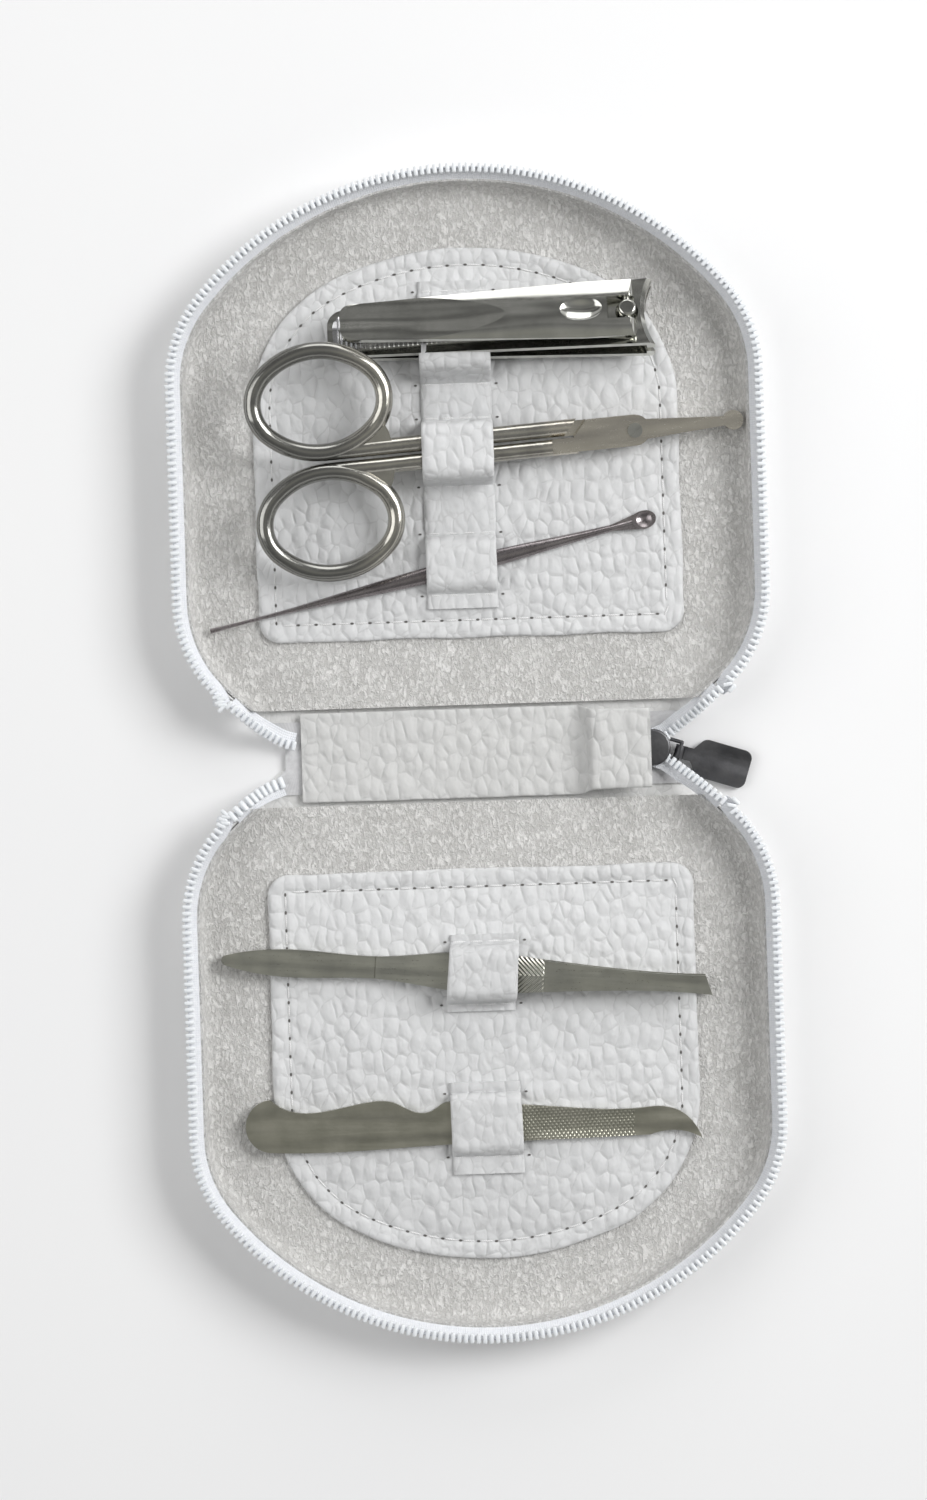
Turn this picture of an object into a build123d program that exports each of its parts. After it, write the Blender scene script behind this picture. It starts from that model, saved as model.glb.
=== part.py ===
"""Manicure set case: a zip-around clamshell lying open flat, with its five steel tools in their loops.

Millimetres. X runs along the fold lines, Y from one half of the case to the other, Z is up.
The case stands on Z = 0. The two halves fold up about the lines |Y| = fold_y, Z = fold_z.
"""

import os
from math import asin, atan2, cos, degrees, radians, sin, sqrt, tan

from build123d import *

os.makedirs("parts", exist_ok=True)

# ---- case: outline of one half, measured to the outside of the zip teeth ----
spine_width = 16.4  # between the two fold lines, which is also the inside depth when closed
half_width = 53.5  # middle of the case to the side
reach = 105.7  # middle of the case to the far end of a half
far_radius = 62.0  # the round far end
corner_radius = 24.0  # from the far end into the side
shoulder_radius = 25.0  # from the side into the waist
shoulder_turn = 49.5  # degrees that the shoulder turns through
waist_x = 35.7  # where the zip comes nearest to the middle line
waist_y = 2.0

# ---- case: thicknesses and heights ----
cover_t = 0.7  # leatherette
board_t = 0.6  # stiffener under the lining
lining_t = 0.7  # suede lining
panel_t = 1.0  # pebbled tool panel on its backing
strap_t = 0.8  # pebbled strap, folded double
fold_z = 1.5  # height of the fold lines
wall_z = 6.6  # top of the side wall
edge_radius = 4.0  # outside bottom edge of the cover
cover_inset = 1.5  # teeth to the outside of the wall
waist_inset = 0.4  # teeth to the edge of the spine's back at both waists
bead_gap = 0.12  # between the rolled fold and the cover beside it
lip = 0.35  # fold line to whatever stands above it on a half
root_y = 3.0  # the outline is drawn down to here and then cut at the fold

# ---- zip ----
tape_t = 0.6
coil_w = 1.4
coil_h = 1.25
rim_gap = 0.2  # between the two coils when the case is shut
tooth_pitch = 1.15
tooth_depth = 0.55
tooth_share = 0.58  # of the pitch
slider_w = 6.6
slider_length = 9.0
slider_front = 35.1  # X of the slider's rounded nose
slider_plate = 0.8
slider_slot = 1.4  # clear height between its plates
slider_z = 1.25  # underside of the lower plate
slider_post_r = 0.8
satin_t = 0.3  # lining of the waist
strip_half_length = 31.6  # the strip's two ends
lift_back = 7.5  # behind the slider, where the strip starts to lift
lift_run = 3.0
branch_w = 2.1  # width of a tape's end in Y
branch_x = 37.6  # how far out the tapes' ends run beside the zip
fork_gap = 0.25  # middle line to each tape behind the slider's post
end_gap = 1.2  # the same at the other waist
bail_w = 3.4
bail_root = 1.0  # the bail's foot, back from the nose
bail_reach = 2.9  # from its foot to its bar
bail_wire = 0.7
pull_length = 13.0
pull_w = 7.0
pull_t = 0.8
pull_neck = 2.4
pull_turn = -18.0  # degrees that the pull lies askew

# ---- tool panels ----
panel_half_w = 38.5
panel_near = 20.9  # middle of the case to the straight edge
panel_far = 91.5
panel_far_r = 55.0
panel_corner_r = 26.0
panel_near_r = 4.0

# ---- straps: X position and width, Y of each seam ----
tool_strap_x = -1.5
tool_strap_w = 12.8
tool_strap_end = 26.2
pick_loop = (28.9, 39.5)
scissors_loop = (48.6, 60.2)
clipper_loop = (67.0, 83.0)
tool_strap_far = 85.4
tweezer_strap_x = -0.1
tweezer_loop_y = (32.7, 34.2, 45.1, 46.6)  # tab, loop, loop, tab
file_strap_x = -0.3
file_loop_y = (59.4, 61.0, 72.9, 76.0)
short_strap_w = 13.0
loop_gap = 0.35  # between a tool and the loop around it
seat_gap = 0.15  # between a tool and what it lies on

# ---- nail clipper, in its own frame: X to the cutting edge, Z through the jaws ----
clipper_x = 5.1  # its middle
clipper_y = 75.9
clipper_yaw = 1.0
clipper_roll = -15.0  # it lies rolled over onto its far edge
clipper_length = 58.6
jaw_t = 1.2
jaw_tail_w = 8.6
jaw_front_w = 12.4
jaw_tail_r = 3.0
edge_hollow = 1.6  # how far the cutting edge is hollowed
blade_h = 1.2  # height of each bent-over blade
blade_t = 1.5
bite = 1.8  # opening between the blades
root_gap = 0.1  # between the jaws at the tail
clipper_file_t = 0.6
clipper_file_w = 6.6
clipper_file_length = 44.0
lever_t = 1.2
lever_tip_w = 6.6
lever_w = 10.6
lever_length = 52.6
lug_slot = 4.2
crown_r = 24.0  # the lever's top is crowned across its width
dimple = (16.0, 4.2, 2.6, 1.2)  # thumb rest in the lever: X of its middle, half length, half width, half height
lug_r = 1.3
pin_r = 0.6
pin_z = 7.8
post_x = 24.4
post_r = 1.6
rivet_x = -24.0
rivet_r = 1.2
run_gap = 0.05  # round a pin that turns

# ---- scissors, in their own frame: origin at the screw, X to the tips ----
screw_x = 30.3
screw_y = 57.2
screw_z = 6.0
scissors_axis = 4.4  # degrees that they lie askew
scissors_rise = 4.0  # the finger rings lie higher than the tips
scissors_bank = 6.6  # and the ring beside the clipper lies on its tail
ring_x = -56.0
ring_y = 10.85
ring_length = 26.8
ring_width = 21.3
ring_wire = 3.1
bar_w = 3.0  # of each rounded bar from its ring to the pivot
bar_t = 2.6
heel_t = 2.0  # web between a ring and its bar
bar_step = (-13.0, -10.6)  # X where a bar ends: at the middle line, and at its outer side
plate_edge = (-11.0, -8.6)  # the same for the edge of the plate that lies over it
blade_plate = 1.3
plate_half = 2.8
blade_reach = 18.0
blade_root_w = 3.9
blade_tip_w = 1.4
tip_ball_r = 1.75
screw_r = 1.35
screw_shaft_r = 1.0
scissors_face_gap = 0.06

# ---- pick: sharp stem, flat grip and a small spoon ----
pick_start = (-47.2, 23.5)
pick_angle = 12.6
pick_length = 83.0
pick_grip_w = 2.9
pick_grip_t = 1.4
pick_stem = 1.3
pick_point = 0.9
spoon_length = 4.4
spoon_w = 3.3
spoon_t = 1.1
spoon_hollow = 0.4

# ---- tweezers: X from the joined end ----
tweezer_start = (-46.4, -35.9)
tweezer_angle = -4.6
tweezer_length = 88.0
tweezer_t = 0.9
tweezer_join = 27.0
tweezer_spread = 4.2  # degrees between the arms
tweezer_grip_half = 3.6
tweezer_waist_half = 2.0
tweezer_leaf_half = 2.5
tweezer_tip_half = 1.75
tip_slant = 22.0

# ---- nail file ----
file_start = (-43.7, -66.15)
file_angle = -0.9
file_length = 82.4
file_t = 1.2
file_handle_w = 9.5
file_notch = 1.5
file_body_w = 7.7
file_rasp_w = 6.5
file_neck_w = 5.0

# ---- worked out from the above ----
fold_y = spine_width / 2
rim_z = fold_z + fold_y - rim_gap / 2
coil_z = rim_z - coil_h
lining_z = cover_t + board_t  # underside of the lining
floor_z = lining_z + lining_t
panel_z = floor_z + panel_t
wall_inset = cover_inset + cover_t
inner_inset = wall_inset + lining_t
bead_r = fold_z
strip_z = fold_z + 0.3  # top of the spine's strip
strip_half = fold_y - 0.1
strip_inner = fold_y - bead_r - 0.05  # between the two rolled folds
lift_z = slider_z + 2 * slider_plate + slider_slot + 0.2  # underside of the strip over the slider
lift_half = fold_y - 1.0  # narrower there, between the linings of the shut case
branch_half = fold_y - 2.0  # the tapes' ends stop here, inside the shut case's walls
tape_z = slider_z + slider_plate + (slider_slot - tape_t) / 2


def save(name, *solids):
    """Write one node, as one solid or as a group of separate solids."""
    export_step(solids[0] if len(solids) == 1 else Compound(children=list(solids)), f"parts/{name}.step")


def block(x0, x1, y0, y1, z0, z1):
    """Box between two corners."""
    return Pos((x0 + x1) / 2, (y0 + y1) / 2, (z0 + z1) / 2) * Box(x1 - x0, y1 - y0, z1 - z0)


def one(shape):
    """The single solid that a boolean left, out of its compound."""
    return shape.solids()[0]


def flip(shape):
    """The same piece on the other half of the case."""
    return mirror(shape, about=Plane.XZ)


def other_side(shape):
    """The same piece on the other side of the middle line."""
    return mirror(shape, about=Plane.YZ)


def arc(x, y, radius, start, turn):
    return CenterArc((x, y), radius, start, turn).edge()


def line(*points):
    return [Line(a, b).edge() for a, b in zip(points, points[1:])]


# ------------------------------------------------------------------ case halves

slant = radians(shoulder_turn)
side_x = half_width - corner_radius
far_y = reach - far_radius
side_y = far_y + sqrt((far_radius - corner_radius) ** 2 - side_x**2)
far_turn = degrees(atan2(side_y - far_y, side_x))
shoulder_x = half_width - shoulder_radius
shoulder_y = (
    waist_y
    + shoulder_radius * sin(slant)
    + (shoulder_x + shoulder_radius * cos(slant) - waist_x) / tan(slant)
)


def rim_edges(inset):
    """The open outline of a half, from one waist round the far end to the other, drawn in by inset."""
    r = shoulder_radius - inset
    ex, ey = shoulder_x + r * cos(slant), shoulder_y - r * sin(slant)
    root_x = ex - (ey - root_y) * tan(slant)
    side = half_width - inset
    return [
        *line((root_x, root_y), (ex, ey)),
        arc(shoulder_x, shoulder_y, r, -shoulder_turn, shoulder_turn),
        *line((side, shoulder_y), (side, side_y)),
        arc(side_x, side_y, corner_radius - inset, 0, far_turn),
        arc(0, far_y, far_radius - inset, far_turn, 180 - 2 * far_turn),
        arc(-side_x, side_y, corner_radius - inset, 180 - far_turn, far_turn),
        *line((-side, side_y), (-side, shoulder_y)),
        arc(-shoulder_x, shoulder_y, r, 180, shoulder_turn),
        *line((-ex, ey), (-root_x, root_y)),
    ]


def outline(inset, z=0.0):
    """The closed outline of a half as a face at height z."""
    edges = rim_edges(inset)
    ends = edges[-1] @ 1, edges[0] @ 0
    return Pos(0, 0, z) * Face(Wire(edges + line(*ends)))


def raised(face, z, height):
    """A flat outline made solid, from height z upwards."""
    return extrude(Pos(0, 0, z) * face, amount=height, dir=(0, 0, 1))


def slab(inset, z0, z1):
    return raised(outline(inset), z0, z1 - z0)


def at_fold(shape):
    """Cut a piece of a half back from the fold, so that it clears the rolled fold as it swings up."""
    wide = 2 * half_width
    shape -= block(-wide, wide, 0, fold_y + lip, -1, 2 * rim_z)
    shape -= block(-wide, wide, 0, fold_y + bead_r + bead_gap, -1, fold_z + 0.05)
    return one(shape)


def tray(inset, z, radius, top):
    """Solid block with the outline of a half and its bottom edge rounded."""
    shape = slab(inset, z, top)
    rounded = [e for e in shape.edges() if e.bounding_box().max.Z < z + 0.01 and e.center().Y > root_y + 0.01]
    return fillet(rounded, radius)


def cover():
    outer = tray(cover_inset, 0, edge_radius, wall_z)
    inner = tray(wall_inset, cover_t, edge_radius - cover_t, wall_z + 1)
    return at_fold(outer - inner)


def board():
    return at_fold(slab(wall_inset + edge_radius - cover_t, cover_t, lining_z))


def lining():
    outer = tray(wall_inset, lining_z, edge_radius - cover_t, wall_z)
    inner = tray(inner_inset, floor_z, edge_radius - cover_t - lining_t, wall_z + 1)
    return at_fold(outer - inner)


def zip_tape():
    """Woven tape, sewn between cover and lining and leaning outwards to the teeth."""
    foot, head = wall_inset - tape_t / 2, coil_w - 2 * tape_t / 3
    outside = loft([outline(foot, wall_z), outline(head, coil_z)], ruled=True)
    inside = loft([outline(foot + tape_t, wall_z), outline(head + tape_t, coil_z)], ruled=True)
    return at_fold(outside - inside)


def zip_coil():
    """One half of the toothed chain, a tooth and a gap at every pitch."""
    edges = rim_edges(0)
    rim = Wire(edges)
    count = round(rim.length / tooth_pitch)
    points = []
    for n in range(count):
        for share, depth in ((0, 0), (tooth_share, 0), (tooth_share, tooth_depth), (1, tooth_depth)):
            u = min((n + share) / count, 1)
            ahead = rim.tangent_at(u)
            points.append(rim.position_at(u) + Vector(-ahead.Y, ahead.X) * depth)
    teeth = raised(Face(Wire.make_polygon(points, close=True)), coil_z, coil_h)
    return at_fold(teeth - slab(coil_w, coil_z - 1, rim_z + 1))


# ------------------------------------------------------------------ panels and straps


def panel():
    """Tool panel: straight near edge with small corners, round far end."""
    x, y = panel_half_w - panel_corner_r, panel_far - panel_far_r
    corner_y = y + sqrt((panel_far_r - panel_corner_r) ** 2 - x**2)
    turn = degrees(atan2(corner_y - y, x))
    near_x, near_y = panel_half_w - panel_near_r, panel_near + panel_near_r
    edges = [
        *line((-near_x, panel_near), (near_x, panel_near)),
        arc(near_x, near_y, panel_near_r, -90, 90),
        *line((panel_half_w, near_y), (panel_half_w, corner_y)),
        arc(x, corner_y, panel_corner_r, 0, turn),
        arc(0, y, panel_far_r, turn, 180 - 2 * turn),
        arc(-x, corner_y, panel_corner_r, 180 - turn, turn),
        *line((-panel_half_w, corner_y), (-panel_half_w, near_y)),
        arc(-near_x, near_y, panel_near_r, 180, 90),
    ]
    shape = raised(Face(Wire(edges)), floor_z, panel_t)
    return fillet(shape.faces().sort_by(Axis.Z)[-1].edges(), panel_t / 2)


def strap(x, width, span, arches):
    """Flat strap along Y with an arch over each tool. An arch is the (Y, Z) corners of its inside."""
    base = Rectangle(span[1] - span[0], strap_t, align=(Align.MIN, Align.MIN))
    section = Pos(span[0], panel_z) * base
    for corners in arches:
        inside = make_face(Polyline(*corners, close=True))
        inside = fillet([v for v in inside.vertices() if v.Y > panel_z + 0.5], 1.2)
        outside = offset(inside, amount=strap_t)
        section = section + outside - inside
    below = Pos(0, panel_z) * Rectangle(1000, 50, align=(Align.CENTER, Align.MAX))
    section = section - below
    return one(extrude(Plane.YZ.offset(x - width / 2) * section, amount=width))


# ------------------------------------------------------------------ nail clipper


def clipper_place(shape):
    base_z = panel_z + seat_gap + sin(radians(-clipper_roll)) * jaw_front_w / 2
    return Pos(clipper_x, clipper_y, base_z) * Rot(0, 0, clipper_yaw) * Rot(clipper_roll, 0, 0) * shape


jaw_x = clipper_length / 2
hinge_x = -jaw_x + 0.5
hinge_z = jaw_t + root_gap
upper_z = jaw_t + 2 * blade_h + bite  # underside of the upper jaw over the cutting edge
jaw_lean = degrees(asin((upper_z - hinge_z) / (jaw_x - hinge_x)))


def jaw_plan(front):
    """Plan of a jaw: round tail, straight sides that widen to a hollow cutting edge."""
    tail, wide = jaw_tail_w / 2, jaw_front_w / 2
    edges = line((front, wide), (-jaw_x, tail), (-jaw_x, -tail), (front, -wide))
    edges.append(ThreePointArc((front, -wide), (front - edge_hollow, 0), (front, wide)).edge())
    face = Face(Wire(edges))
    return fillet([v for v in face.vertices() if v.X < 0], jaw_tail_r)


def jaw():
    """One jaw with its blade bent up, lying on Z = 0."""
    shape = raised(jaw_plan(jaw_x), 0, jaw_t + blade_h)
    hollow = raised(jaw_plan(jaw_x - blade_t), jaw_t, 2 * blade_h)
    shape = one(shape - hollow)
    lower_front = [e for e in shape.edges() if e.bounding_box().max.Z < 0.01 and e.center().X > jaw_x - 2]
    return chamfer(lower_front, jaw_t * 0.6)


def post_hole(radius, x):
    return Pos(x, 0, 0) * Cylinder(radius, 60)


def clipper_lower_jaw():
    shape = jaw() - post_hole(post_r + run_gap, post_x) - post_hole(rivet_r + run_gap, rivet_x)
    return clipper_place(one(shape))


def lean(shape):
    """Lift a piece of the upper jaw about its root at the tail."""
    return Pos(hinge_x, 0, hinge_z) * Rot(0, -jaw_lean, 0) * Pos(-hinge_x, 0, -hinge_z) * shape


def clipper_upper_jaw():
    shape = lean(Pos(0, 0, hinge_z + jaw_t) * mirror(jaw(), about=Plane.XY))
    shape = shape - post_hole(post_r + 0.45, post_x) - post_hole(rivet_r + 0.25, rivet_x)
    return clipper_place(one(shape))


def clipper_file():
    """Small file that lies on the upper jaw, on the rivet."""
    x0 = -jaw_x + 1.0
    plan = Pos(x0, 0, 0) * Rectangle(clipper_file_length, clipper_file_w, align=(Align.MIN, Align.CENTER))
    plan = fillet(plan.vertices(), clipper_file_w / 2 - 0.8)
    shape = lean(raised(plan, hinge_z + jaw_t, clipper_file_t))
    return clipper_place(one(shape - post_hole(rivet_r + 0.25, rivet_x)))


def clipper_rivet():
    head_z = hinge_z + jaw_t + clipper_file_t + (rivet_x - hinge_x) * tan(radians(jaw_lean)) + 0.35
    shaft = Pos(rivet_x, 0, 0) * Cylinder(rivet_r, head_z + 0.1, align=(Align.CENTER, Align.CENTER, Align.MIN))
    head = Pos(rivet_x, 0, head_z) * Cylinder(2 * rivet_r, 0.5, align=(Align.CENTER, Align.CENTER, Align.MIN))
    return clipper_place(shaft + fillet(head.edges().sort_by(Axis.Z)[-1], 0.3))


def clipper_post():
    """Round post with an eye for the lever's pin."""
    top = pin_z + lug_r - 0.2
    shaft = Pos(post_x, 0, 0) * Cylinder(post_r, top, align=(Align.CENTER, Align.CENTER, Align.MIN))
    shaft = fillet(shaft.edges().sort_by(Axis.Z)[-1], 0.5)
    eye = Pos(post_x, 0, pin_z) * Rot(90, 0, 0) * Cylinder(pin_r + run_gap, 10)
    return clipper_place(one(shaft - eye))


def clipper_pin():
    return clipper_place(Pos(post_x, 0, pin_z) * Rot(90, 0, 0) * Cylinder(pin_r, lever_w - 1.6))


def clipper_lever():
    """Pressed lever: a tapered plate that lies back over the jaws, with two lugs down to the pin."""
    tip = post_x + lug_r - lever_length
    under = pin_z + lug_r - lever_t  # underside of the plate beside the post
    tip_z = under - 1.2
    spine = Spline((tip, tip_z), (tip + 14, tip_z + 0.1), (post_x - 9, under), (post_x - 4.2, under))
    top = Spline(
        (post_x - 4.2, under + lever_t),
        (post_x - 9, under + lever_t),
        (tip + 14, tip_z + lever_t + 0.1),
        (tip, tip_z + lever_t),
    )
    plate = Face(Wire([spine.edge(), *line(spine @ 1, top @ 0), top.edge(), *line(top @ 1, spine @ 0)]))
    lug = Pos(post_x, pin_z) * Circle(lug_r) + make_face(
        Polyline(
            (post_x - 4.4, under),
            (post_x - 4.4, under + lever_t),
            (post_x + 0.1, pin_z + lug_r),
            (post_x + 0.1, pin_z - lug_r),
            close=True,
        )
    )
    side = Plane.XZ.offset(-lever_w / 2) * (Sketch() + plate + lug)
    body = extrude(side, amount=lever_w)
    plan = make_face(
        Polyline(
            (tip, lever_tip_w / 2),
            (post_x - 8, lever_w / 2),
            (post_x + 5, lever_w / 2),
            (post_x + 5, -lever_w / 2),
            (post_x - 8, -lever_w / 2),
            (tip, -lever_tip_w / 2),
            close=True,
        )
    )
    plan = fillet([v for v in plan.vertices() if v.X < 0], 2.0)
    body = body & raised(plan, 0, 4 * pin_z)
    body = one(body - block(post_x - 3.6, post_x + 5, -lug_slot / 2, lug_slot / 2, 0, 4 * pin_z))
    body = one(body - Pos(post_x, 0, pin_z) * Rot(90, 0, 0) * Cylinder(pin_r, 3 * lever_w))
    top_z = under + lever_t
    fall = degrees(atan2(under - tip_z, post_x - tip))
    crown = Pos(post_x - 4.2, 0, top_z - crown_r) * Rot(0, 90 - fall, 0) * Cylinder(crown_r, 3 * lever_length)
    body = one(body & crown)
    x, length, width, height = dimple
    hollow = Pos(x, 0, top_z + 0.45) * scale(Sphere(1), by=(length, width, height))
    return clipper_place(one(body - hollow))


# ------------------------------------------------------------------ scissors


def scissors_place(shape):
    turned = Rot(0, 0, scissors_axis) * shape
    return Pos(screw_x, screw_y, screw_z) * Rot(0, scissors_rise, 0) * Rot(scissors_bank, 0, 0) * turned


def finger_ring(side):
    """Oval ring of round wire, four tangent arcs."""
    a, b = (ring_length - ring_wire) / 2, (ring_width - ring_wire) / 2
    end_r = 0.61 * a
    flat = a - end_r
    side_r = (flat**2 + b**2 - end_r**2) / (2 * (b - end_r))
    half = degrees(atan2(side_r - b, flat))
    wire = Wire(
        [
            arc(flat, 0, end_r, -half, 2 * half),
            arc(0, b - side_r, side_r, half, 180 - 2 * half),
            arc(-flat, 0, end_r, 180 - half, 2 * half),
            arc(0, side_r - b, side_r, 180 + half, 180 - 2 * half),
        ]
    )
    start = Plane(origin=wire @ 0, z_dir=wire % 0)
    return Pos(ring_x, side * ring_y) * sweep(start * Circle(ring_wire / 2), path=wire)


def slanted(edge, hand, far):
    """Prism between X = far and the slanted line through edge, on one side of the middle line."""
    inner, outer = edge
    reach_y = 2 * plate_half
    slope = (outer - inner) / plate_half
    corners = ((far, 0), (inner, 0), (inner + slope * reach_y, hand * reach_y), (far, hand * reach_y))
    plan = make_face(Polyline(*corners, close=True))
    return raised(plan, -2 * bar_t, 4 * bar_t)


def scissor_half(side):
    """Ring, rounded bar, pivot plate and blade in one piece.
    Side +1 has its plate on top and its ring at -Y, side -1 has its plate underneath."""
    hand = -side
    low = scissors_face_gap / 2 if side > 0 else -scissors_face_gap / 2 - blade_plate
    inner = scissors_face_gap + 0.1
    bar_y = hand * (inner + bar_w / 2)
    bar = Pos(ring_x, bar_y, 0) * Rot(0, 90, 0) * extrude(Ellipse(bar_t / 2, bar_w / 2), amount=-ring_x)
    bar = bar & slanted(bar_step, hand, 2 * ring_x)
    ring_end = ring_x + ring_length / 2
    heel = make_face(
        Polyline(
            (ring_x, hand * (inner + bar_w / 2)),
            (ring_end - 0.9, hand * (inner + bar_w / 2)),
            (ring_end - 1.4, hand * 4.3),
            (ring_end - 2.2, hand * 6.0),
            (ring_end - 5.2, hand * 3.6),
            close=True,
        )
    )
    heel = raised(heel, -heel_t / 2, heel_t)
    root = block(bar_step[0] - 2.0, 0, *sorted((hand * inner, hand * plate_half)), low, low + blade_plate)
    across = block(plate_edge[0], 0, *sorted((-hand * plate_half, hand * inner)), low, low + blade_plate)
    across -= slanted(plate_edge, -hand, 2 * ring_x)
    blade = make_face(
        Polyline(
            (0, blade_root_w / 2),
            (blade_reach, blade_tip_w / 2),
            (blade_reach, -blade_tip_w / 2),
            (0, -blade_root_w / 2),
            close=True,
        )
    )
    flat = raised(Circle(plate_half) + blade + Pos(blade_reach, 0) * Circle(tip_ball_r), low, blade_plate)
    shape = bar + heel + root + across + flat + finger_ring(hand)
    bore = screw_shaft_r + run_gap if side > 0 else screw_shaft_r
    return one(shape - Cylinder(bore, 20))


def scissors_screw():
    """Slotted screw through both halves, its head sunk in the upper one."""
    top = scissors_face_gap / 2 + blade_plate + 0.35
    head = Pos(0, 0, top) * Cylinder(screw_r, 0.35, align=(Align.CENTER, Align.CENTER, Align.MAX))
    slot = Pos(0, 0, top) * Box(2 * screw_r, 0.45, 0.4)
    bottom = -scissors_face_gap / 2 - blade_plate
    shaft = Cylinder(screw_shaft_r, top - 0.35 - bottom, align=(Align.CENTER, Align.CENTER, Align.MAX))
    shaft = Pos(0, 0, top - 0.35) * shaft
    return one(head - Rot(0, 0, 35) * slot + shaft)


# ------------------------------------------------------------------ pick, tweezers and file


def pick():
    """Round stem that flattens at the grip and ends in a small spoon."""
    stations = (
        (0, pick_point, pick_point),
        (0.25, pick_stem, pick_stem),
        (0.48, pick_grip_w, pick_grip_t),
        (0.64, pick_grip_w, pick_grip_t),
        (0.8, pick_stem + 0.5, pick_stem + 0.1),
        (0.954, pick_stem, pick_stem - 0.35),
    )
    sections = [
        Plane.YZ.offset(share * pick_length) * Ellipse(width / 2, height / 2)
        for share, width, height in stations
    ]
    stem = loft(sections)
    middle = pick_length - spoon_length / 2
    neck = make_face(
        Polyline(
            (middle - 6.0, pick_stem / 2 - 0.1),
            (middle - 0.8, spoon_w / 2 - 0.15),
            (middle - 0.8, 0.15 - spoon_w / 2),
            (middle - 6.0, 0.1 - pick_stem / 2),
            close=True,
        )
    )
    plate = Pos(middle, 0, 0) * Ellipse(spoon_length / 2, spoon_w / 2)
    spoon = raised(neck, -0.35, 0.7) + raised(plate, -spoon_t / 2, spoon_t)
    ball_r = (spoon_w**2 / 4 * 0.7 + spoon_hollow**2) / (2 * spoon_hollow)
    spoon -= Pos(middle, 0, spoon_t / 2 - spoon_hollow + ball_r) * Sphere(ball_r)
    place = Pos(*pick_start, panel_z + seat_gap + pick_grip_t / 2) * Rot(0, 0, pick_angle)
    return place * one(stem + spoon)


def tweezer_plan():
    """Leaf at the joined end, slim neck, broad grip, then a taper to a slanted tip."""
    length = tweezer_length
    side = Spline(
        (0, 0.9),
        (0.15 * length, tweezer_leaf_half),
        (0.31 * length, tweezer_waist_half),
        (0.5 * length, tweezer_grip_half),
        (0.62 * length, tweezer_grip_half - 0.5),
        (0.82 * length, tweezer_tip_half + 0.05),
        (length, tweezer_tip_half),
    )
    below = mirror(side, about=Plane.XZ)
    nose = ThreePointArc(side @ 0, (-0.7, 0), below @ 0).edge()
    face = Face(Wire([side.edge(), *line(side @ 1, below @ 1), below.edge(), nose]))
    cut = Pos(length, 0) * Rot(0, 0, tip_slant) * Rectangle(20, 40, align=(Align.MIN, Align.CENTER))
    return face - Pos(-tan(radians(tip_slant)) * tweezer_tip_half, 0) * cut


def tweezer_place(shape):
    return Pos(*tweezer_start, panel_z + seat_gap) * Rot(0, 0, tweezer_angle) * shape


def tweezer_lower_arm():
    plan = tweezer_plan()
    end = plan - Pos(tweezer_join, 0) * Rectangle(200, 40, align=(Align.MIN, Align.CENTER))
    arm = raised(plan, 0, tweezer_t)
    welded = raised(end, tweezer_t, tweezer_t)
    return tweezer_place(one(arm + welded))


def tweezer_upper_arm():
    """The other arm, from where it leaves the weld."""
    plan = tweezer_plan() - Pos(tweezer_join + 0.2, 0) * Rectangle(200, 40, align=(Align.MAX, Align.CENTER))
    arm = raised(plan, tweezer_t + 0.02, tweezer_t)
    hinge = tweezer_join + 0.2, 0, tweezer_t
    arm = Pos(*hinge) * Rot(0, -tweezer_spread, 0) * Pos(*[-v for v in hinge]) * arm
    return tweezer_place(one(arm))


def nail_file():
    """Flat file: round handle, thumb notch, cut face, and a neck that ends in a hooked cleaner."""
    wide, body, rasp, neck = (w / 2 for w in (file_handle_w, file_body_w, file_rasp_w, file_neck_w))
    top = Spline(
        (4.5, wide), (22, wide - 0.7), (27, wide - 0.9), (30, wide - 0.9 - file_notch),
        (33.6, wide - 0.9 - file_notch), (35.8, body - 0.1), (38.5, body), (50, rasp), (73, neck),
    )
    foot = Spline((73, -neck), (50, -rasp), (34, -body), (18, -wide), (4.5, -wide))
    nose = ThreePointArc(foot @ 1, (0, 0), top @ 0).edge()
    outer = Spline(top @ 1, (78.5, 1.6), (file_length, -3.2))
    inner = Spline(outer @ 1, (79.0, -1.9), foot @ 0)
    face = Face(Wire([top.edge(), outer.edge(), inner.edge(), foot.edge(), nose]))
    shape = raised(face, 0, file_t)
    return Pos(*file_start, panel_z + seat_gap) * Rot(0, 0, file_angle) * one(shape)


# ------------------------------------------------------------------ spine and slider


def waist_shape(inset, z0, z1, half_y):
    """Piece of the spine that follows the slant of the zip at both waists."""
    x0 = waist_x - waist_y * tan(slant) - inset / cos(slant)
    x1 = x0 + half_y * tan(slant)
    right = (x1, -half_y), (x0, 0), (x1, half_y)
    left = (-x1, half_y), (-x0, 0), (-x1, -half_y)
    plan = make_face(Polyline(*right, *left, close=True))
    return raised(plan, z0, z1 - z0)


def spine_cover():
    """Leatherette back of the spine, rolled round both fold lines."""
    shape = waist_shape(waist_inset, 0, cover_t, fold_y)
    length = 2 * (waist_x + (fold_y - waist_y) * tan(slant) - cover_inset / cos(slant))
    for y in (-fold_y, fold_y):
        roll = Pos(0, y, fold_z) * Rot(0, 90, 0) * Cylinder(bead_r, length)
        shape += roll - block(-half_width, half_width, y - 2 * bead_r, y + 2 * bead_r, fold_z, 3 * fold_z)
    return one(shape)


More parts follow.
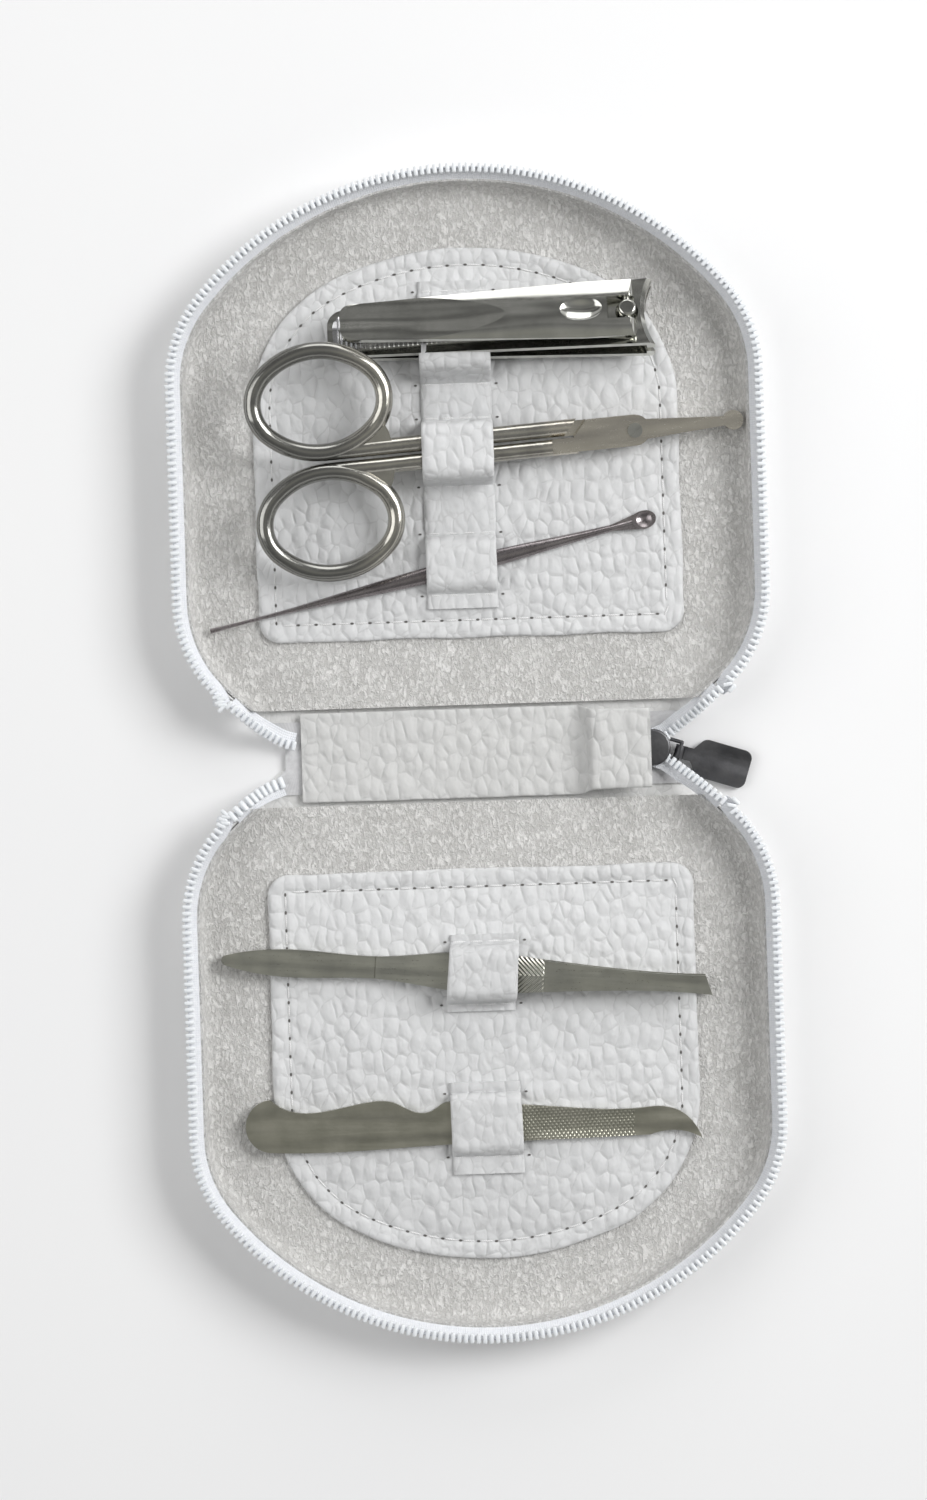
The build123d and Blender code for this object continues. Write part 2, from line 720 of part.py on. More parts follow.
def spine_strip():
    """Pebbled strip inside the spine, over both rolled folds. Its right end is lifted over the slider."""
    ramp = slider_front - slider_length - lift_back
    profile = make_face(
        Polyline(
            (-strip_half_length, cover_t),
            (ramp, cover_t),
            (ramp + lift_run, lift_z),
            (strip_half_length, lift_z),
            (strip_half_length, lift_z + lining_t),
            (ramp + lift_run - 0.4, lift_z + lining_t),
            (ramp - 0.8, strip_z),
            (-strip_half_length, strip_z),
            close=True,
        )
    )
    shape = extrude(Plane.XZ.offset(-strip_half) * profile, amount=2 * strip_half)
    wide = 2 * half_width
    for y in (-fold_y - bead_r, strip_inner):
        shape -= block(-wide, wide, y, y + fold_y + bead_r - strip_inner, 0, fold_z)
    for y in (-fold_y, lift_half):
        shape -= block(ramp - 1, wide, y, y + fold_y - lift_half, strip_z, rim_z)
    return one(shape)


def waist_lining():
    """Satin between the strip and the zip, on the spine's back."""
    shape = waist_shape(waist_inset + satin_t, cover_t, cover_t + satin_t, strip_inner)
    right = block(slider_front - slider_length - lift_back + lift_run, half_width, -fold_y, fold_y, 0, rim_z)
    left = block(-half_width, -strip_half_length, -fold_y, fold_y, 0, rim_z)
    return one(shape & right), one(shape & left)


def waist_line(x, inset):
    """Y of the zip's slanted line at X, drawn in by inset."""
    return waist_y + (x - waist_x) / tan(slant) + inset / sin(slant)


def zip_branch(x_start, z, gap):
    """The end of one tape, lying beside the slanted line of the zip."""
    plan = make_face(
        Polyline(
            (x_start, gap),
            (branch_x, waist_line(branch_x, 0)),
            (branch_x, waist_line(branch_x, branch_w)),
            (x_start, gap + branch_w),
            close=True,
        )
    )
    return one(raised(plan, z, tape_t) & block(0, half_width, 0, branch_half, 0, rim_z))


def right_zip_end():
    """Both tapes at the slider, meshed and sewn down on a foot behind it."""
    back = slider_front - slider_length - lift_back + lift_run + 0.4
    fork = slider_front - 3.4
    half = branch_w + fork_gap
    branch = zip_branch(fork, tape_z, fork_gap)
    stem = block(back, fork, -half, half, tape_z, tape_z + tape_t)
    foot = block(back, back + 2.0, -half, half, cover_t + satin_t, tape_z)
    return one(stem + branch + flip(branch) + foot)


def left_zip_end():
    """The two tapes' other ends, apart, running in beside the strip."""
    branch = other_side(zip_branch(strip_half_length + 0.3, fold_z + 0.05, end_gap))
    return branch, flip(branch)


def slider_body():
    """Two rounded plates joined by a post, with a wire bail standing in front of the nose."""
    length, half = slider_length, slider_w / 2
    plan = Pos(slider_front - length, 0) * Rectangle(length, slider_w, align=(Align.MIN, Align.CENTER))
    plan = fillet([v for v in plan.vertices() if v.X > slider_front - 1], half - 0.2)
    plan = fillet([v for v in plan.vertices() if v.X < slider_front - length + 1], 1.0)
    lower = raised(plan, slider_z, slider_plate)
    top = slider_z + slider_plate + slider_slot
    upper = raised(plan, top, slider_plate)
    upper = fillet(upper.faces().sort_by(Axis.Z)[-1].edges(), 0.4)
    post = Pos(slider_front - 1.4, 0, slider_z) * Cylinder(
        slider_post_r, top + 0.2 - slider_z, align=(Align.CENTER, Align.CENTER, Align.MIN)
    )
    wire = bail_wire / 2
    bar = Pos(bail_reach, 0, 0) * Rot(90, 0, 0) * Cylinder(wire, bail_w)
    legs = [
        Pos(0, y, 0) * Rot(0, 90, 0) * Cylinder(wire, bail_reach, align=(Align.CENTER, Align.CENTER, Align.MIN))
        + Pos(bail_reach, y, 0) * Sphere(wire)
        for y in (-bail_w / 2, bail_w / 2)
    ]
    bail = bail_place(bar + legs)
    return one(lower + upper + post + bail)


def bail_place(shape):
    """From the bail's own frame, whose X runs out along the pull, to the slider's nose."""
    return Pos(slider_front - bail_root, 0, slider_z + slider_plate / 2) * Rot(0, 0, pull_turn) * shape


def slider_pull():
    """Flat pull with a narrow neck and a knuckle round the bail."""
    inside = bail_wire / 2 + run_gap
    outside = inside + 0.5
    knuckle = Pos(bail_reach, 0, 0) * Rot(90, 0, 0) * Cylinder(outside, pull_neck)
    x0 = bail_reach + 2.4
    end = bail_reach + pull_length
    plan = make_face(
        Polyline(
            (bail_reach, pull_neck / 2),
            (x0, pull_neck / 2),
            (x0 + 1.6, pull_w / 2),
            (end, pull_w / 2),
            (end, -pull_w / 2),
            (x0 + 1.6, -pull_w / 2),
            (x0, -pull_neck / 2),
            (bail_reach, -pull_neck / 2),
            close=True,
        )
    )
    plan = fillet([v for v in plan.vertices() if v.X > x0 + 0.5], 1.5)
    plate = raised(plan, -outside, pull_t)
    bore = Pos(bail_reach, 0, 0) * Rot(90, 0, 0) * Cylinder(inside, pull_w)
    return bail_place(one(knuckle + plate - bore))


# ------------------------------------------------------------------ loops and assembly


def clipper_corners():
    """Inside of the strap's arch round the rolled clipper, in the plane of the strap."""
    share = (tool_strap_x + tool_strap_w / 2 - clipper_x + jaw_x) / clipper_length
    half = (jaw_tail_w + (jaw_front_w - jaw_tail_w) * share) / 2 + 2 * loop_gap
    rise = (jaw_x + tool_strap_x + tool_strap_w / 2 - clipper_x) * sin(radians(jaw_lean))
    top = hinge_z + jaw_t + clipper_file_t + rise + loop_gap
    spots = [clipper_place(Pos(tool_strap_x - clipper_x, y, top)).position for y in (-half, half)]
    near, far = clipper_loop
    return [(near + strap_t, panel_z), *[(p.Y, p.Z) for p in spots], (far - strap_t, panel_z)]


def arch(span, height):
    """Inside of a plain arch with steep sides."""
    near, far = span[0] + strap_t, span[1] - strap_t
    return [(near, panel_z), (near + 0.6, panel_z + height), (far - 0.6, panel_z + height), (far, panel_z)]


def tool_strap():
    shanks = screw_z + (screw_x - tool_strap_x + tool_strap_w / 2) * sin(radians(scissors_rise))
    shanks += (bar_w + 0.2) * sin(radians(scissors_bank)) + bar_t / 2 + loop_gap
    arches = [
        arch(pick_loop, seat_gap + pick_grip_t + loop_gap),
        arch(scissors_loop, shanks - panel_z),
        clipper_corners(),
    ]
    return strap(tool_strap_x, tool_strap_w, (tool_strap_end, tool_strap_far), arches)


def short_strap(x, seams, height):
    """Short strap for one tool on the lower half, drawn on the upper one and flipped."""
    near, loop_near, loop_far, far = seams
    return flip(strap(x, short_strap_w, (near, far), [arch((loop_near, loop_far), height)]))


halves = {
    "cover": cover(),
    "board": board(),
    "lining": lining(),
    "tool_panel": panel(),
    "zip_tape": zip_tape(),
    "zip_coil": zip_coil(),
}
for name, shape in halves.items():
    save(f"upper_{name}", shape)
    save(f"lower_{name}", flip(shape))

save("tool_strap", tool_strap())
open_length = tweezer_strap_x + short_strap_w / 2 - tweezer_start[0] - tweezer_join
spread_z = 2 * tweezer_t + open_length * tan(radians(tweezer_spread))
save("tweezer_strap", short_strap(tweezer_strap_x, tweezer_loop_y, seat_gap + spread_z + 2 * loop_gap))
save("file_strap", short_strap(file_strap_x, file_loop_y, seat_gap + file_t + loop_gap))

save("spine_cover", spine_cover())
save("spine_strip", spine_strip())
for name, shape in zip(("right_waist_lining", "left_waist_lining"), waist_lining()):
    save(name, shape)
save("right_zip_end", right_zip_end())
save("left_zip_end", *left_zip_end())
save("slider_body", slider_body())
save("slider_pull", slider_pull())

save("clipper_lower_jaw", clipper_lower_jaw())
save("clipper_upper_jaw", clipper_upper_jaw())
save("clipper_file", clipper_file())
save("clipper_rivet", clipper_rivet())
save("clipper_post", clipper_post())
save("clipper_pin", clipper_pin())
save("clipper_lever", clipper_lever())

save("scissors_upper_half", scissors_place(scissor_half(1)))
save("scissors_lower_half", scissors_place(scissor_half(-1)))
save("scissors_screw", scissors_place(scissors_screw()))
save("pick", pick())
save("tweezer_lower_arm", tweezer_lower_arm())
save("tweezer_upper_arm", tweezer_upper_arm())
save("nail_file", nail_file())

screw = scissors_place(Pos(0, 0, 0))
pin = clipper_place(Pos(post_x, 0, pin_z))
root = clipper_place(Pos(hinge_x, 0, hinge_z))
weld = tweezer_place(Pos(tweezer_join + 0.2, 0, tweezer_t))
bail = bail_place(Pos(bail_reach, 0, 0))
for name, place in (("screw", screw), ("pin", pin), ("jaw root", root), ("weld", weld), ("bail", bail)):
    frame = Plane(place)
    print(name, frame.origin, "x", frame.x_dir, "y", frame.y_dir, "z", frame.z_dir)
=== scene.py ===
from math import atan2, ceil, cos, hypot, pi, radians, sin, sqrt, tan

import bpy
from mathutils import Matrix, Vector, noise


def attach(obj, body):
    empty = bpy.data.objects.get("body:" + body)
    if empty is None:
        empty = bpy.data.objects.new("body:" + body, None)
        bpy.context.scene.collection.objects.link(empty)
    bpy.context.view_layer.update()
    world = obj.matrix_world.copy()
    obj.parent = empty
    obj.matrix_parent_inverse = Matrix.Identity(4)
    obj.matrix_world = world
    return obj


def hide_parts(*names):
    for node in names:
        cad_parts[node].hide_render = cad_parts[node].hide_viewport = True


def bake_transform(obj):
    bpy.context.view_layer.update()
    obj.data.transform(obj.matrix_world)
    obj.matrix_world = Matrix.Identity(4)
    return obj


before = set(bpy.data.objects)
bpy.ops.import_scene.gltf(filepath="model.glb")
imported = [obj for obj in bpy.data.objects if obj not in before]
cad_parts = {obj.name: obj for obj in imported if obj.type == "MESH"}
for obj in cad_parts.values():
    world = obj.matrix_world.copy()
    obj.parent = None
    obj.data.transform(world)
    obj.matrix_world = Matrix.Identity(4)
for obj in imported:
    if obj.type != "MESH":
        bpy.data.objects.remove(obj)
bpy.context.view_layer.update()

# ---- table, light and camera ----
# The open case lies on a pale table under soft light that comes mostly from the right.
# The camera hangs straight above it and the case is turned a little in its view.
mm = 0.001
case_turn = radians(1.85)
view_height = 0.7
view_long_side = 0.27

bpy.ops.object.select_all(action="DESELECT")
bpy.ops.mesh.primitive_plane_add(size=6, location=(0, 0, 0))
table = bpy.context.object
table.name = "table_top"


def joined(tree, kind, settings=None, inputs=None):
    """Add a node, set it, and give each input a value or the output it is joined to."""
    made = tree.nodes.new(kind)
    for key, value in (settings or {}).items():
        setattr(made, key, value)
    for key, value in (inputs or {}).items():
        if isinstance(value, bpy.types.NodeSocket):
            tree.links.new(value, made.inputs[key])
        else:
            made.inputs[key].default_value = value
    return made


def noise_at(tree, place, scale, detail):
    return joined(tree, "ShaderNodeTexNoise", None, {"Vector": place, "Scale": scale, "Detail": detail})


def finish_of(name):
    """An empty material: its node tree and its Principled shader."""
    material = bpy.data.materials.new(name)
    material.use_nodes = True
    tree = material.node_tree
    return material, tree, tree.nodes["Principled BSDF"]


table_paint, tree, shader = finish_of("table_paint")
spot = joined(tree, "ShaderNodeTexCoord").outputs["Object"]
mottle = noise_at(tree, spot, 9.0, 3.0)
tint = joined(tree, "ShaderNodeMix", {"data_type": "RGBA"}, {"Factor": mottle.outputs["Fac"]})
tint.inputs[6].default_value = (0.86, 0.86, 0.87, 1)
tint.inputs[7].default_value = (0.89, 0.89, 0.89, 1)
tree.links.new(tint.outputs[2], shader.inputs["Base Color"])
shader.inputs["Roughness"].default_value = 0.9
shader.inputs["Specular IOR Level"].default_value = 0.1
table.data.materials.append(table_paint)

studio = bpy.data.worlds.new("studio")
bpy.context.scene.world = studio
studio.use_nodes = True
tree = studio.node_tree
aim = joined(tree, "ShaderNodeTexCoord").outputs["Generated"]
split = joined(tree, "ShaderNodeSeparateXYZ", None, {"Vector": aim})
ring = joined(tree, "ShaderNodeValToRGB", None, {"Fac": split.outputs["Z"]})
ring.color_ramp.elements[0].position = 0.0
ring.color_ramp.elements[0].color = (0.12, 0.12, 0.12, 1)
ring.color_ramp.elements[1].position = 1.0
ring.color_ramp.elements[1].color = (0.5, 0.5, 0.46, 1)
for place, level in (
    (0.16, 0.3), (0.34, 0.85), (0.5, 0.95), (0.56, 0.3), (0.62, 0.14), (0.69, 0.2), (0.73, 0.55), (0.77, 0.17),
    (0.84, 0.22), (0.87, 0.42), (0.9, 0.24), (0.95, 0.34),
):
    stop = ring.color_ramp.elements.new(place)
    stop.color = (level, level, level * 0.99, 1)
sides = joined(
    tree, "ShaderNodeMapRange", None, {"Value": split.outputs["X"], 1: -0.8, 2: 0.8, 3: 0.62, 4: 1.15}
)
scaled = joined(
    tree, "ShaderNodeVectorMath", {"operation": "SCALE"},
    {0: ring.outputs["Color"], "Scale": sides.outputs[0]}
)
tree.links.new(scaled.outputs[0], tree.nodes["Background"].inputs["Color"])
tree.nodes["Background"].inputs["Strength"].default_value = 0.84

for name, place, size, power in (
    ("key_lamp", (0.68, 0.3, 0.66), 0.5, 7.3),
    ("fill_lamp", (-0.75, 0.05, 0.7), 0.8, 3.8),
    ("far_lamp", (0.1, 1.05, 0.42), 0.6, 2.5),
):
    bpy.ops.object.light_add(type="AREA", location=place)
    lamp = bpy.context.object
    lamp.name = name
    lamp.data.size = size
    lamp.data.energy = power
    lamp.rotation_euler = (-Vector(place)).to_track_quat("-Z", "Y").to_euler()

bpy.ops.object.camera_add(
    location=(
        (-2.25 * cos(case_turn) - 0.54 * sin(-case_turn)) * mm,
        (-2.25 * sin(-case_turn) + 0.54 * cos(case_turn)) * mm,
        view_height,
    ),
    rotation=(0, 0, -case_turn),
)
camera = bpy.context.object
camera.data.sensor_fit = "VERTICAL"
camera.data.sensor_height = 36
camera.data.lens = 36 * (view_height - 6 * mm) / view_long_side
bpy.context.scene.camera = camera
bpy.context.scene.view_settings.view_transform = "Standard"

# ---- leatherette covers of both halves ----
# Each half of the case is a shallow shell of white leatherette over a board, with a wall that
# stands up all round except at the fold. The wall's top edge is turned in and sewn to the zip.
half_width, reach = 53.5, 105.7
far_radius, corner_radius, shoulder_radius = 62.0, 24.0, 25.0
slant = radians(49.5)
waist_x, waist_y = 35.7, 2.0
side_x, far_y = half_width - corner_radius, reach - far_radius
side_y = far_y + sqrt((far_radius - corner_radius) ** 2 - side_x**2)
far_turn = atan2(side_y - far_y, side_x)
shoulder_x = half_width - shoulder_radius
shoulder_y = waist_y + shoulder_radius * sin(slant) + (
    shoulder_x + shoulder_radius * cos(slant) - waist_x
) / tan(slant)


def run(a, b, step=2.0):
    """Points along a straight edge, each with the direction that leads into the piece, on its left."""
    length = hypot(b[0] - a[0], b[1] - a[1])
    along = (b[0] - a[0]) / length, (b[1] - a[1]) / length
    count = max(1, ceil(length / step))
    return [
        (
            a[0] + (b[0] - a[0]) * n / count, a[1] + (b[1] - a[1]) * n / count, -along[1], along[0]
        ) for n in range(count)
    ]


def bend(x, y, radius, start, turn, step=1.6):
    """The same along an arc that turns left round its centre."""
    count = max(2, ceil(radius * turn / step))
    angles = [start + turn * n / count for n in range(count)]
    return [(x + radius * cos(a), y + radius * sin(a), -cos(a), -sin(a)) for a in angles]


def rim_from(y):
    """The outline of a half from the waist at height y on the right to the same place on the left."""
    x = waist_x + (y - waist_y) * tan(slant)
    foot = shoulder_x + shoulder_radius * cos(slant), shoulder_y - shoulder_radius * sin(slant)
    last = (-x, y, sin(pi / 2 - slant), cos(pi / 2 - slant))
    return [
        *run((x, y), foot),
        *bend(shoulder_x, shoulder_y, shoulder_radius, -slant, slant),
        *run((half_width, shoulder_y), (half_width, side_y)),
        *bend(side_x, side_y, corner_radius, 0, far_turn),
        *bend(0, far_y, far_radius, far_turn, pi - 2 * far_turn),
        *bend(-side_x, side_y, corner_radius, pi - far_turn, far_turn),
        *run((-half_width, side_y), (-half_width, shoulder_y)),
        *bend(-shoulder_x, shoulder_y, shoulder_radius, pi, slant),
        *run((-foot[0], foot[1]), (-x, y)),
        last,
    ]


def in_from(point, inset):
    return point[0] + point[2] * inset, point[1] + point[3] * inset


def in_from_cut(rim, column, inset, fade=12.0):
    """The same, drawn back near both ends, so that a piece ends straight along the fold."""
    point = rim[column]
    end, sense = (rim[0], -1) if column < len(rim) / 2 else (rim[-1], 1)
    back = inset * tan(slant) * max(0.0, 1 - hypot(point[0] - end[0], point[1] - end[1]) / fade)
    x, y = in_from(point, inset)
    return x + sense * back * point[3], y - sense * back * point[2]


def cloth(name, columns, rows, place, wrap=False):
    """A grid laid out in space: place gives the millimetres for a column and a row.
    Its UV map holds the distances along and across in millimetres.
    With wrap it closes on itself along its columns."""
    bpy.ops.object.select_all(action="DESELECT")
    bpy.ops.mesh.primitive_grid_add(x_subdivisions=columns - 1, y_subdivisions=rows - 1, size=1)
    piece = bpy.context.object
    piece.name = piece.data.name = name
    spots = {}
    for v in piece.data.vertices:
        column, row = round((v.co.x + 0.5) * (columns - 1)), round((v.co.y + 0.5) * (rows - 1))
        spots[v.index] = column, row
        v.co = [c * mm for c in place(column % (columns - 1) if wrap else column, row)]
    at = {spot: piece.data.vertices[i].co for i, spot in spots.items()}
    middle = rows // 2
    along, across = [0.0], [0.0]
    for c in range(1, columns):
        along.append(along[-1] + (at[c, middle] - at[c - 1, middle]).length / mm)
    for r in range(1, rows):
        across.append(across[-1] + (at[columns // 2, r] - at[columns // 2, r - 1]).length / mm)
    uv = piece.data.uv_layers.active.data
    for corner in piece.data.loops:
        column, row = spots[corner.vertex_index]
        uv[corner.index].uv = along[column], across[row]
    return piece


def edited(piece, *steps):
    """Select the piece alone, run some edit mode steps on it and come back."""
    bpy.ops.object.select_all(action="DESELECT")
    bpy.context.view_layer.objects.active = piece
    piece.select_set(True)
    bpy.ops.object.mode_set(mode="EDIT")
    for step in steps:
        step()
    bpy.ops.object.mode_set(mode="OBJECT")


def select_where(test):
    """Select the vertices whose place, in millimetres, passes the test."""
    piece = bpy.context.object
    bpy.ops.mesh.select_all(action="DESELECT")
    bpy.ops.object.mode_set(mode="OBJECT")
    for v in piece.data.vertices:
        v.select = test(v.co / mm)
    bpy.ops.object.mode_set(mode="EDIT")
    bpy.ops.mesh.select_mode(type="VERT")


def merge_and_face_out():
    bpy.ops.mesh.select_all(action="SELECT")
    bpy.ops.mesh.remove_doubles(threshold=0.01 * mm)
    bpy.ops.mesh.normals_make_consistent(inside=False)


def applied(piece, kind, **settings):
    """Give the piece a modifier and apply it."""
    bpy.ops.object.select_all(action="DESELECT")
    bpy.context.view_layer.objects.active = piece
    piece.select_set(True)
    modifier = piece.modifiers.new(kind.lower(), kind)
    for key, value in settings.items():
        setattr(modifier, key, value)
    bpy.ops.object.modifier_apply(modifier=modifier.name)


def smooth(piece, degrees=50):
    bpy.ops.object.select_all(action="DESELECT")
    bpy.context.view_layer.objects.active = piece
    piece.select_set(True)
    bpy.ops.object.shade_smooth_by_angle(angle=radians(degrees))


def set_on(piece, material, body=None):
    """Give a piece its material, and let it ride on a body."""
    piece.data.materials.clear()
    piece.data.materials.append(material)
    if body:
        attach(piece, body)


def group_of(name, inputs, outputs):
    """An empty node group with float, vector or colour sockets."""
    group = bpy.data.node_groups.new(name, "ShaderNodeTree")
    for socket, kind, value in inputs:
        made = group.interface.new_socket(socket, in_out="INPUT", socket_type=kind)
        if value is not None:
            made.default_value = value
    for socket in outputs:
        group.interface.new_socket(socket, in_out="OUTPUT", socket_type="NodeSocketFloat")
    return group, group.nodes.new("NodeGroupInput"), group.nodes.new("NodeGroupOutput")


def level(tree, value, low, high, out_low=0.0, out_high=1.0, soft=False):
    """Map a value from one range to another, held at both ends."""
    made = joined(tree, "ShaderNodeMapRange", {"interpolation_type": "SMOOTHSTEP" if soft else "LINEAR"},
                  {"Value": value, 1: low, 2: high, 3: out_low, 4: out_high})
    return made.outputs[0]


def sum_of(tree, a, b, kind="ADD"):
    return joined(tree, "ShaderNodeMath", {"operation": kind}, {0: a, 1: b}).outputs[0]


pebbles, pin, pout = group_of(
    "pebbled_grain",
    [
        ("Place", "NodeSocketVector", None), ("Width", "NodeSocketFloat", 2.3),
        ("Length", "NodeSocketFloat", 3.4)
    ],
    ["Height", "Crease_Shade"],
)
wander = noise_at(pebbles, pin.outputs["Place"], 0.3, 1.0)
shift = joined(pebbles, "ShaderNodeVectorMath", {"operation": "MULTIPLY_ADD"},
               {0: wander.outputs["Color"], 1: (1.0, 1.0, 1.0), 2: pin.outputs["Place"]})
wide = sum_of(pebbles, 1.0, pin.outputs["Width"], "DIVIDE")
tall = sum_of(pebbles, 1.0, pin.outputs["Length"], "DIVIDE")
cells = joined(pebbles, "ShaderNodeCombineXYZ", None, {"X": wide, "Y": tall, "Z": wide})
cell_place = joined(
    pebbles, "ShaderNodeVectorMath", {"operation": "MULTIPLY"}, {0: shift.outputs[0], 1: cells.outputs[0]}
)
edge = joined(pebbles, "ShaderNodeTexVoronoi", {"feature": "DISTANCE_TO_EDGE"},
              {"Vector": cell_place.outputs[0], "Scale": 1.0, "Randomness": 0.72})
dome = joined(pebbles, "ShaderNodeTexVoronoi", {"feature": "SMOOTH_F1"},
              {"Vector": cell_place.outputs[0], "Scale": 1.0, "Randomness": 0.72, "Smoothness": 0.4})
small = joined(pebbles, "ShaderNodeTexVoronoi", {"feature": "SMOOTH_F1"},
               {"Vector": cell_place.outputs[0], "Scale": 2.6, "Randomness": 1.0, "Smoothness": 0.5})
fade = noise_at(pebbles, pin.outputs["Place"], 0.5, 1.0)
pores = noise_at(pebbles, pin.outputs["Place"], 5.0, 3.0)
depth = level(pebbles, fade.outputs["Fac"], 0.38, 0.6, 0.3, 1.0, soft=True)
plump = level(pebbles, dome.outputs["Distance"], 0.12, 0.72, 1.0, 0.0, soft=True)
valley = sum_of(
    pebbles, level(pebbles, edge.outputs["Distance"], 0.0, 0.16, 0.26, 0.0, soft=True), depth, "MULTIPLY"
)
lumps = level(pebbles, small.outputs["Distance"], 0.1, 0.6, 0.12, 0.0, soft=True)
skin = sum_of(pebbles, lumps, level(pebbles, pores.outputs["Fac"], 0.3, 0.7, 0.0, 0.025))
pebbles.links.new(sum_of(pebbles, sum_of(pebbles, plump, valley, "SUBTRACT"), skin), pout.inputs["Height"])
# The crease mask marks where painted shade darkens the colour between the pebbles.
crease_shade = sum_of(
    pebbles, level(pebbles, edge.outputs["Distance"], 0.0, 0.07, 1.0, 0.0, soft=True), depth, "MULTIPLY"
)
pebbles.links.new(crease_shade, pout.inputs["Crease_Shade"])


def use_group(tree, group, inputs):
    made = tree.nodes.new("ShaderNodeGroup")
    made.node_tree = group
    for key, value in inputs.items():
        if isinstance(value, bpy.types.NodeSocket):
            tree.links.new(value, made.inputs[key])
        else:
            made.inputs[key].default_value = value
    return made


def millimetres(tree, source="Object", turn=0.0):
    """Object or UV coordinates in millimetres."""
    found = joined(tree, "ShaderNodeTexCoord").outputs[source]
    scale = 1 if source == "UV" else 1000
    return joined(
        tree, "ShaderNodeMapping", None, {"Vector": found, "Scale": (scale,) * 3, "Rotation": (0, 0, turn)}
    ).outputs[0]


def blend_colour(tree, amount, low, high):
    """Mix two colours by a mask."""
    made = joined(tree, "ShaderNodeMix", {"data_type": "RGBA"}, {"Factor": amount})
    for index, colour in ((6, low), (7, high)):
        if isinstance(colour, bpy.types.NodeSocket):
            tree.links.new(colour, made.inputs[index])
        else:
            made.inputs[index].default_value = (*colour, 1)
    return made.outputs[2]


def paint(tree, shader, amount, low, high):
    """Colour a shader by a mask."""
    tree.links.new(blend_colour(tree, amount, low, high), shader.inputs["Base Color"])


def bump_of(tree, height, strength, distance, under=None):
    """A bump of a height in millimetres, laid over another normal."""
    inputs = {"Height": height, "Strength": strength, "Distance": distance * mm}
    if under:
        inputs["Normal"] = under
    return joined(tree, "ShaderNodeBump", None, inputs).outputs[0]


def leather_finish(name, width, length, depth, colour, crease_shade, turn=0.0):
    """White coated leatherette: pebbles with painted shade darkening their creases, glossier on their tops."""
    material, tree, shader = finish_of(name)
    place = millimetres(tree, turn=turn)
    grain = use_group(tree, pebbles, {"Place": place, "Width": width, "Length": length})
    broad = noise_at(tree, place, 0.05, 2.0)
    top = blend_colour(
        tree, level(tree, broad.outputs["Fac"], 0.35, 0.65), colour, [c * 0.955 for c in colour]
    )
    # Painted shade: the creases are coloured halfway towards the darker crease colour.
    paint(tree, shader, sum_of(tree, grain.outputs["Crease_Shade"], 0.5, "MULTIPLY"), top, crease_shade)
    tree.links.new(level(tree, grain.outputs["Height"], 0.2, 1.6, 0.6, 0.44), shader.inputs["Roughness"])
    tree.links.new(bump_of(tree, grain.outputs["Height"], 0.9, depth), shader.inputs["Normal"])
    return material


# The last colour of each leatherette is the painted shade in its creases.
cover_leather = leather_finish("white_leatherette", 1.5, 1.9, 0.11, (0.8, 0.8, 0.79), (0.55, 0.55, 0.54))
thread_white, tree, shader = finish_of("white_thread")
place = millimetres(tree)
twist = joined(
    tree, "ShaderNodeTexWave", {"bands_direction": "DIAGONAL"},
    {"Vector": place, "Scale": 1.6, "Distortion": 0.6}
)
paint(tree, shader, twist.outputs["Fac"], (0.66, 0.66, 0.66), (0.84, 0.84, 0.84))
tree.links.new(bump_of(tree, twist.outputs["Fac"], 0.6, 0.06), shader.inputs["Normal"])
shader.inputs["Roughness"].default_value = 0.75

cover_rim = rim_from(8.75)
cover_profile = [
    (2.15, 6.5), (1.85, 6.72), (1.5, 6.55), (1.38, 6.0), (1.52, 5.45), (1.42, 4.4), (1.5, 3.2),
    (1.75, 2.1), (2.25, 1.2), (3.1, 0.5), (4.2, 0.12), (5.6, 0.0), (9.0, 0.0),
]
stitch_pitch = 3.25


def thread_along(name, points, length=2.3, radius=0.2):
    """A short bent thread at each point, given as its place, the run and the outward normal."""
    bpy.ops.object.select_all(action="DESELECT")
    bpy.ops.mesh.primitive_uv_sphere_add(segments=8, ring_count=6, radius=1)
    model = bpy.context.object
    spots = [v.co.copy() for v in model.data.vertices]
    faces = [tuple(f.vertices) for f in model.data.polygons]
    bpy.data.objects.remove(model)
    made, shell = [], []
    for place, along, out in points:
        start = len(made)
        across = out.cross(along).normalized()
        for v in spots:
            lift = 1 - v.x * v.x * 0.9
            made.append(
                (
                    place + along * (v.x * length / 2) + across * (v.y * radius) + out * (
                        v.z * radius * 0.75 + lift * 0.08
                    )
                ) * mm
            )
        shell += [tuple(start + i for i in f) for f in faces]
    mesh = bpy.data.meshes.new(name)
    mesh.from_pydata(made, [], shell)
    piece = bpy.data.objects.new(name, mesh)
    bpy.context.collection.objects.link(piece)
    mesh.polygons.foreach_set("use_smooth", [True] * len(mesh.polygons))
    return piece


def spaced(rim, pitch, inset, height, out, closed=False):
    """Places for stitches at an even pitch along an outline."""
    line = [Vector((*in_from(p, inset), height)) for p in rim]
    if closed:
        line.append(line[0])
    normals = [Vector((-p[2], -p[3], 0)) for p in rim] + [Vector((-rim[0][2], -rim[0][3], 0))]
    found, travelled, wanted = [], 0.0, pitch / 2
    for a, b, normal in zip(line, line[1:], normals):
        gap = (b - a).length
        while gap > 1e-6 and travelled + gap > wanted:
            found.append((a.lerp(b, (wanted - travelled) / gap), (b - a).normalized(), (out or normal)))
            wanted += pitch
        travelled += gap
    return found


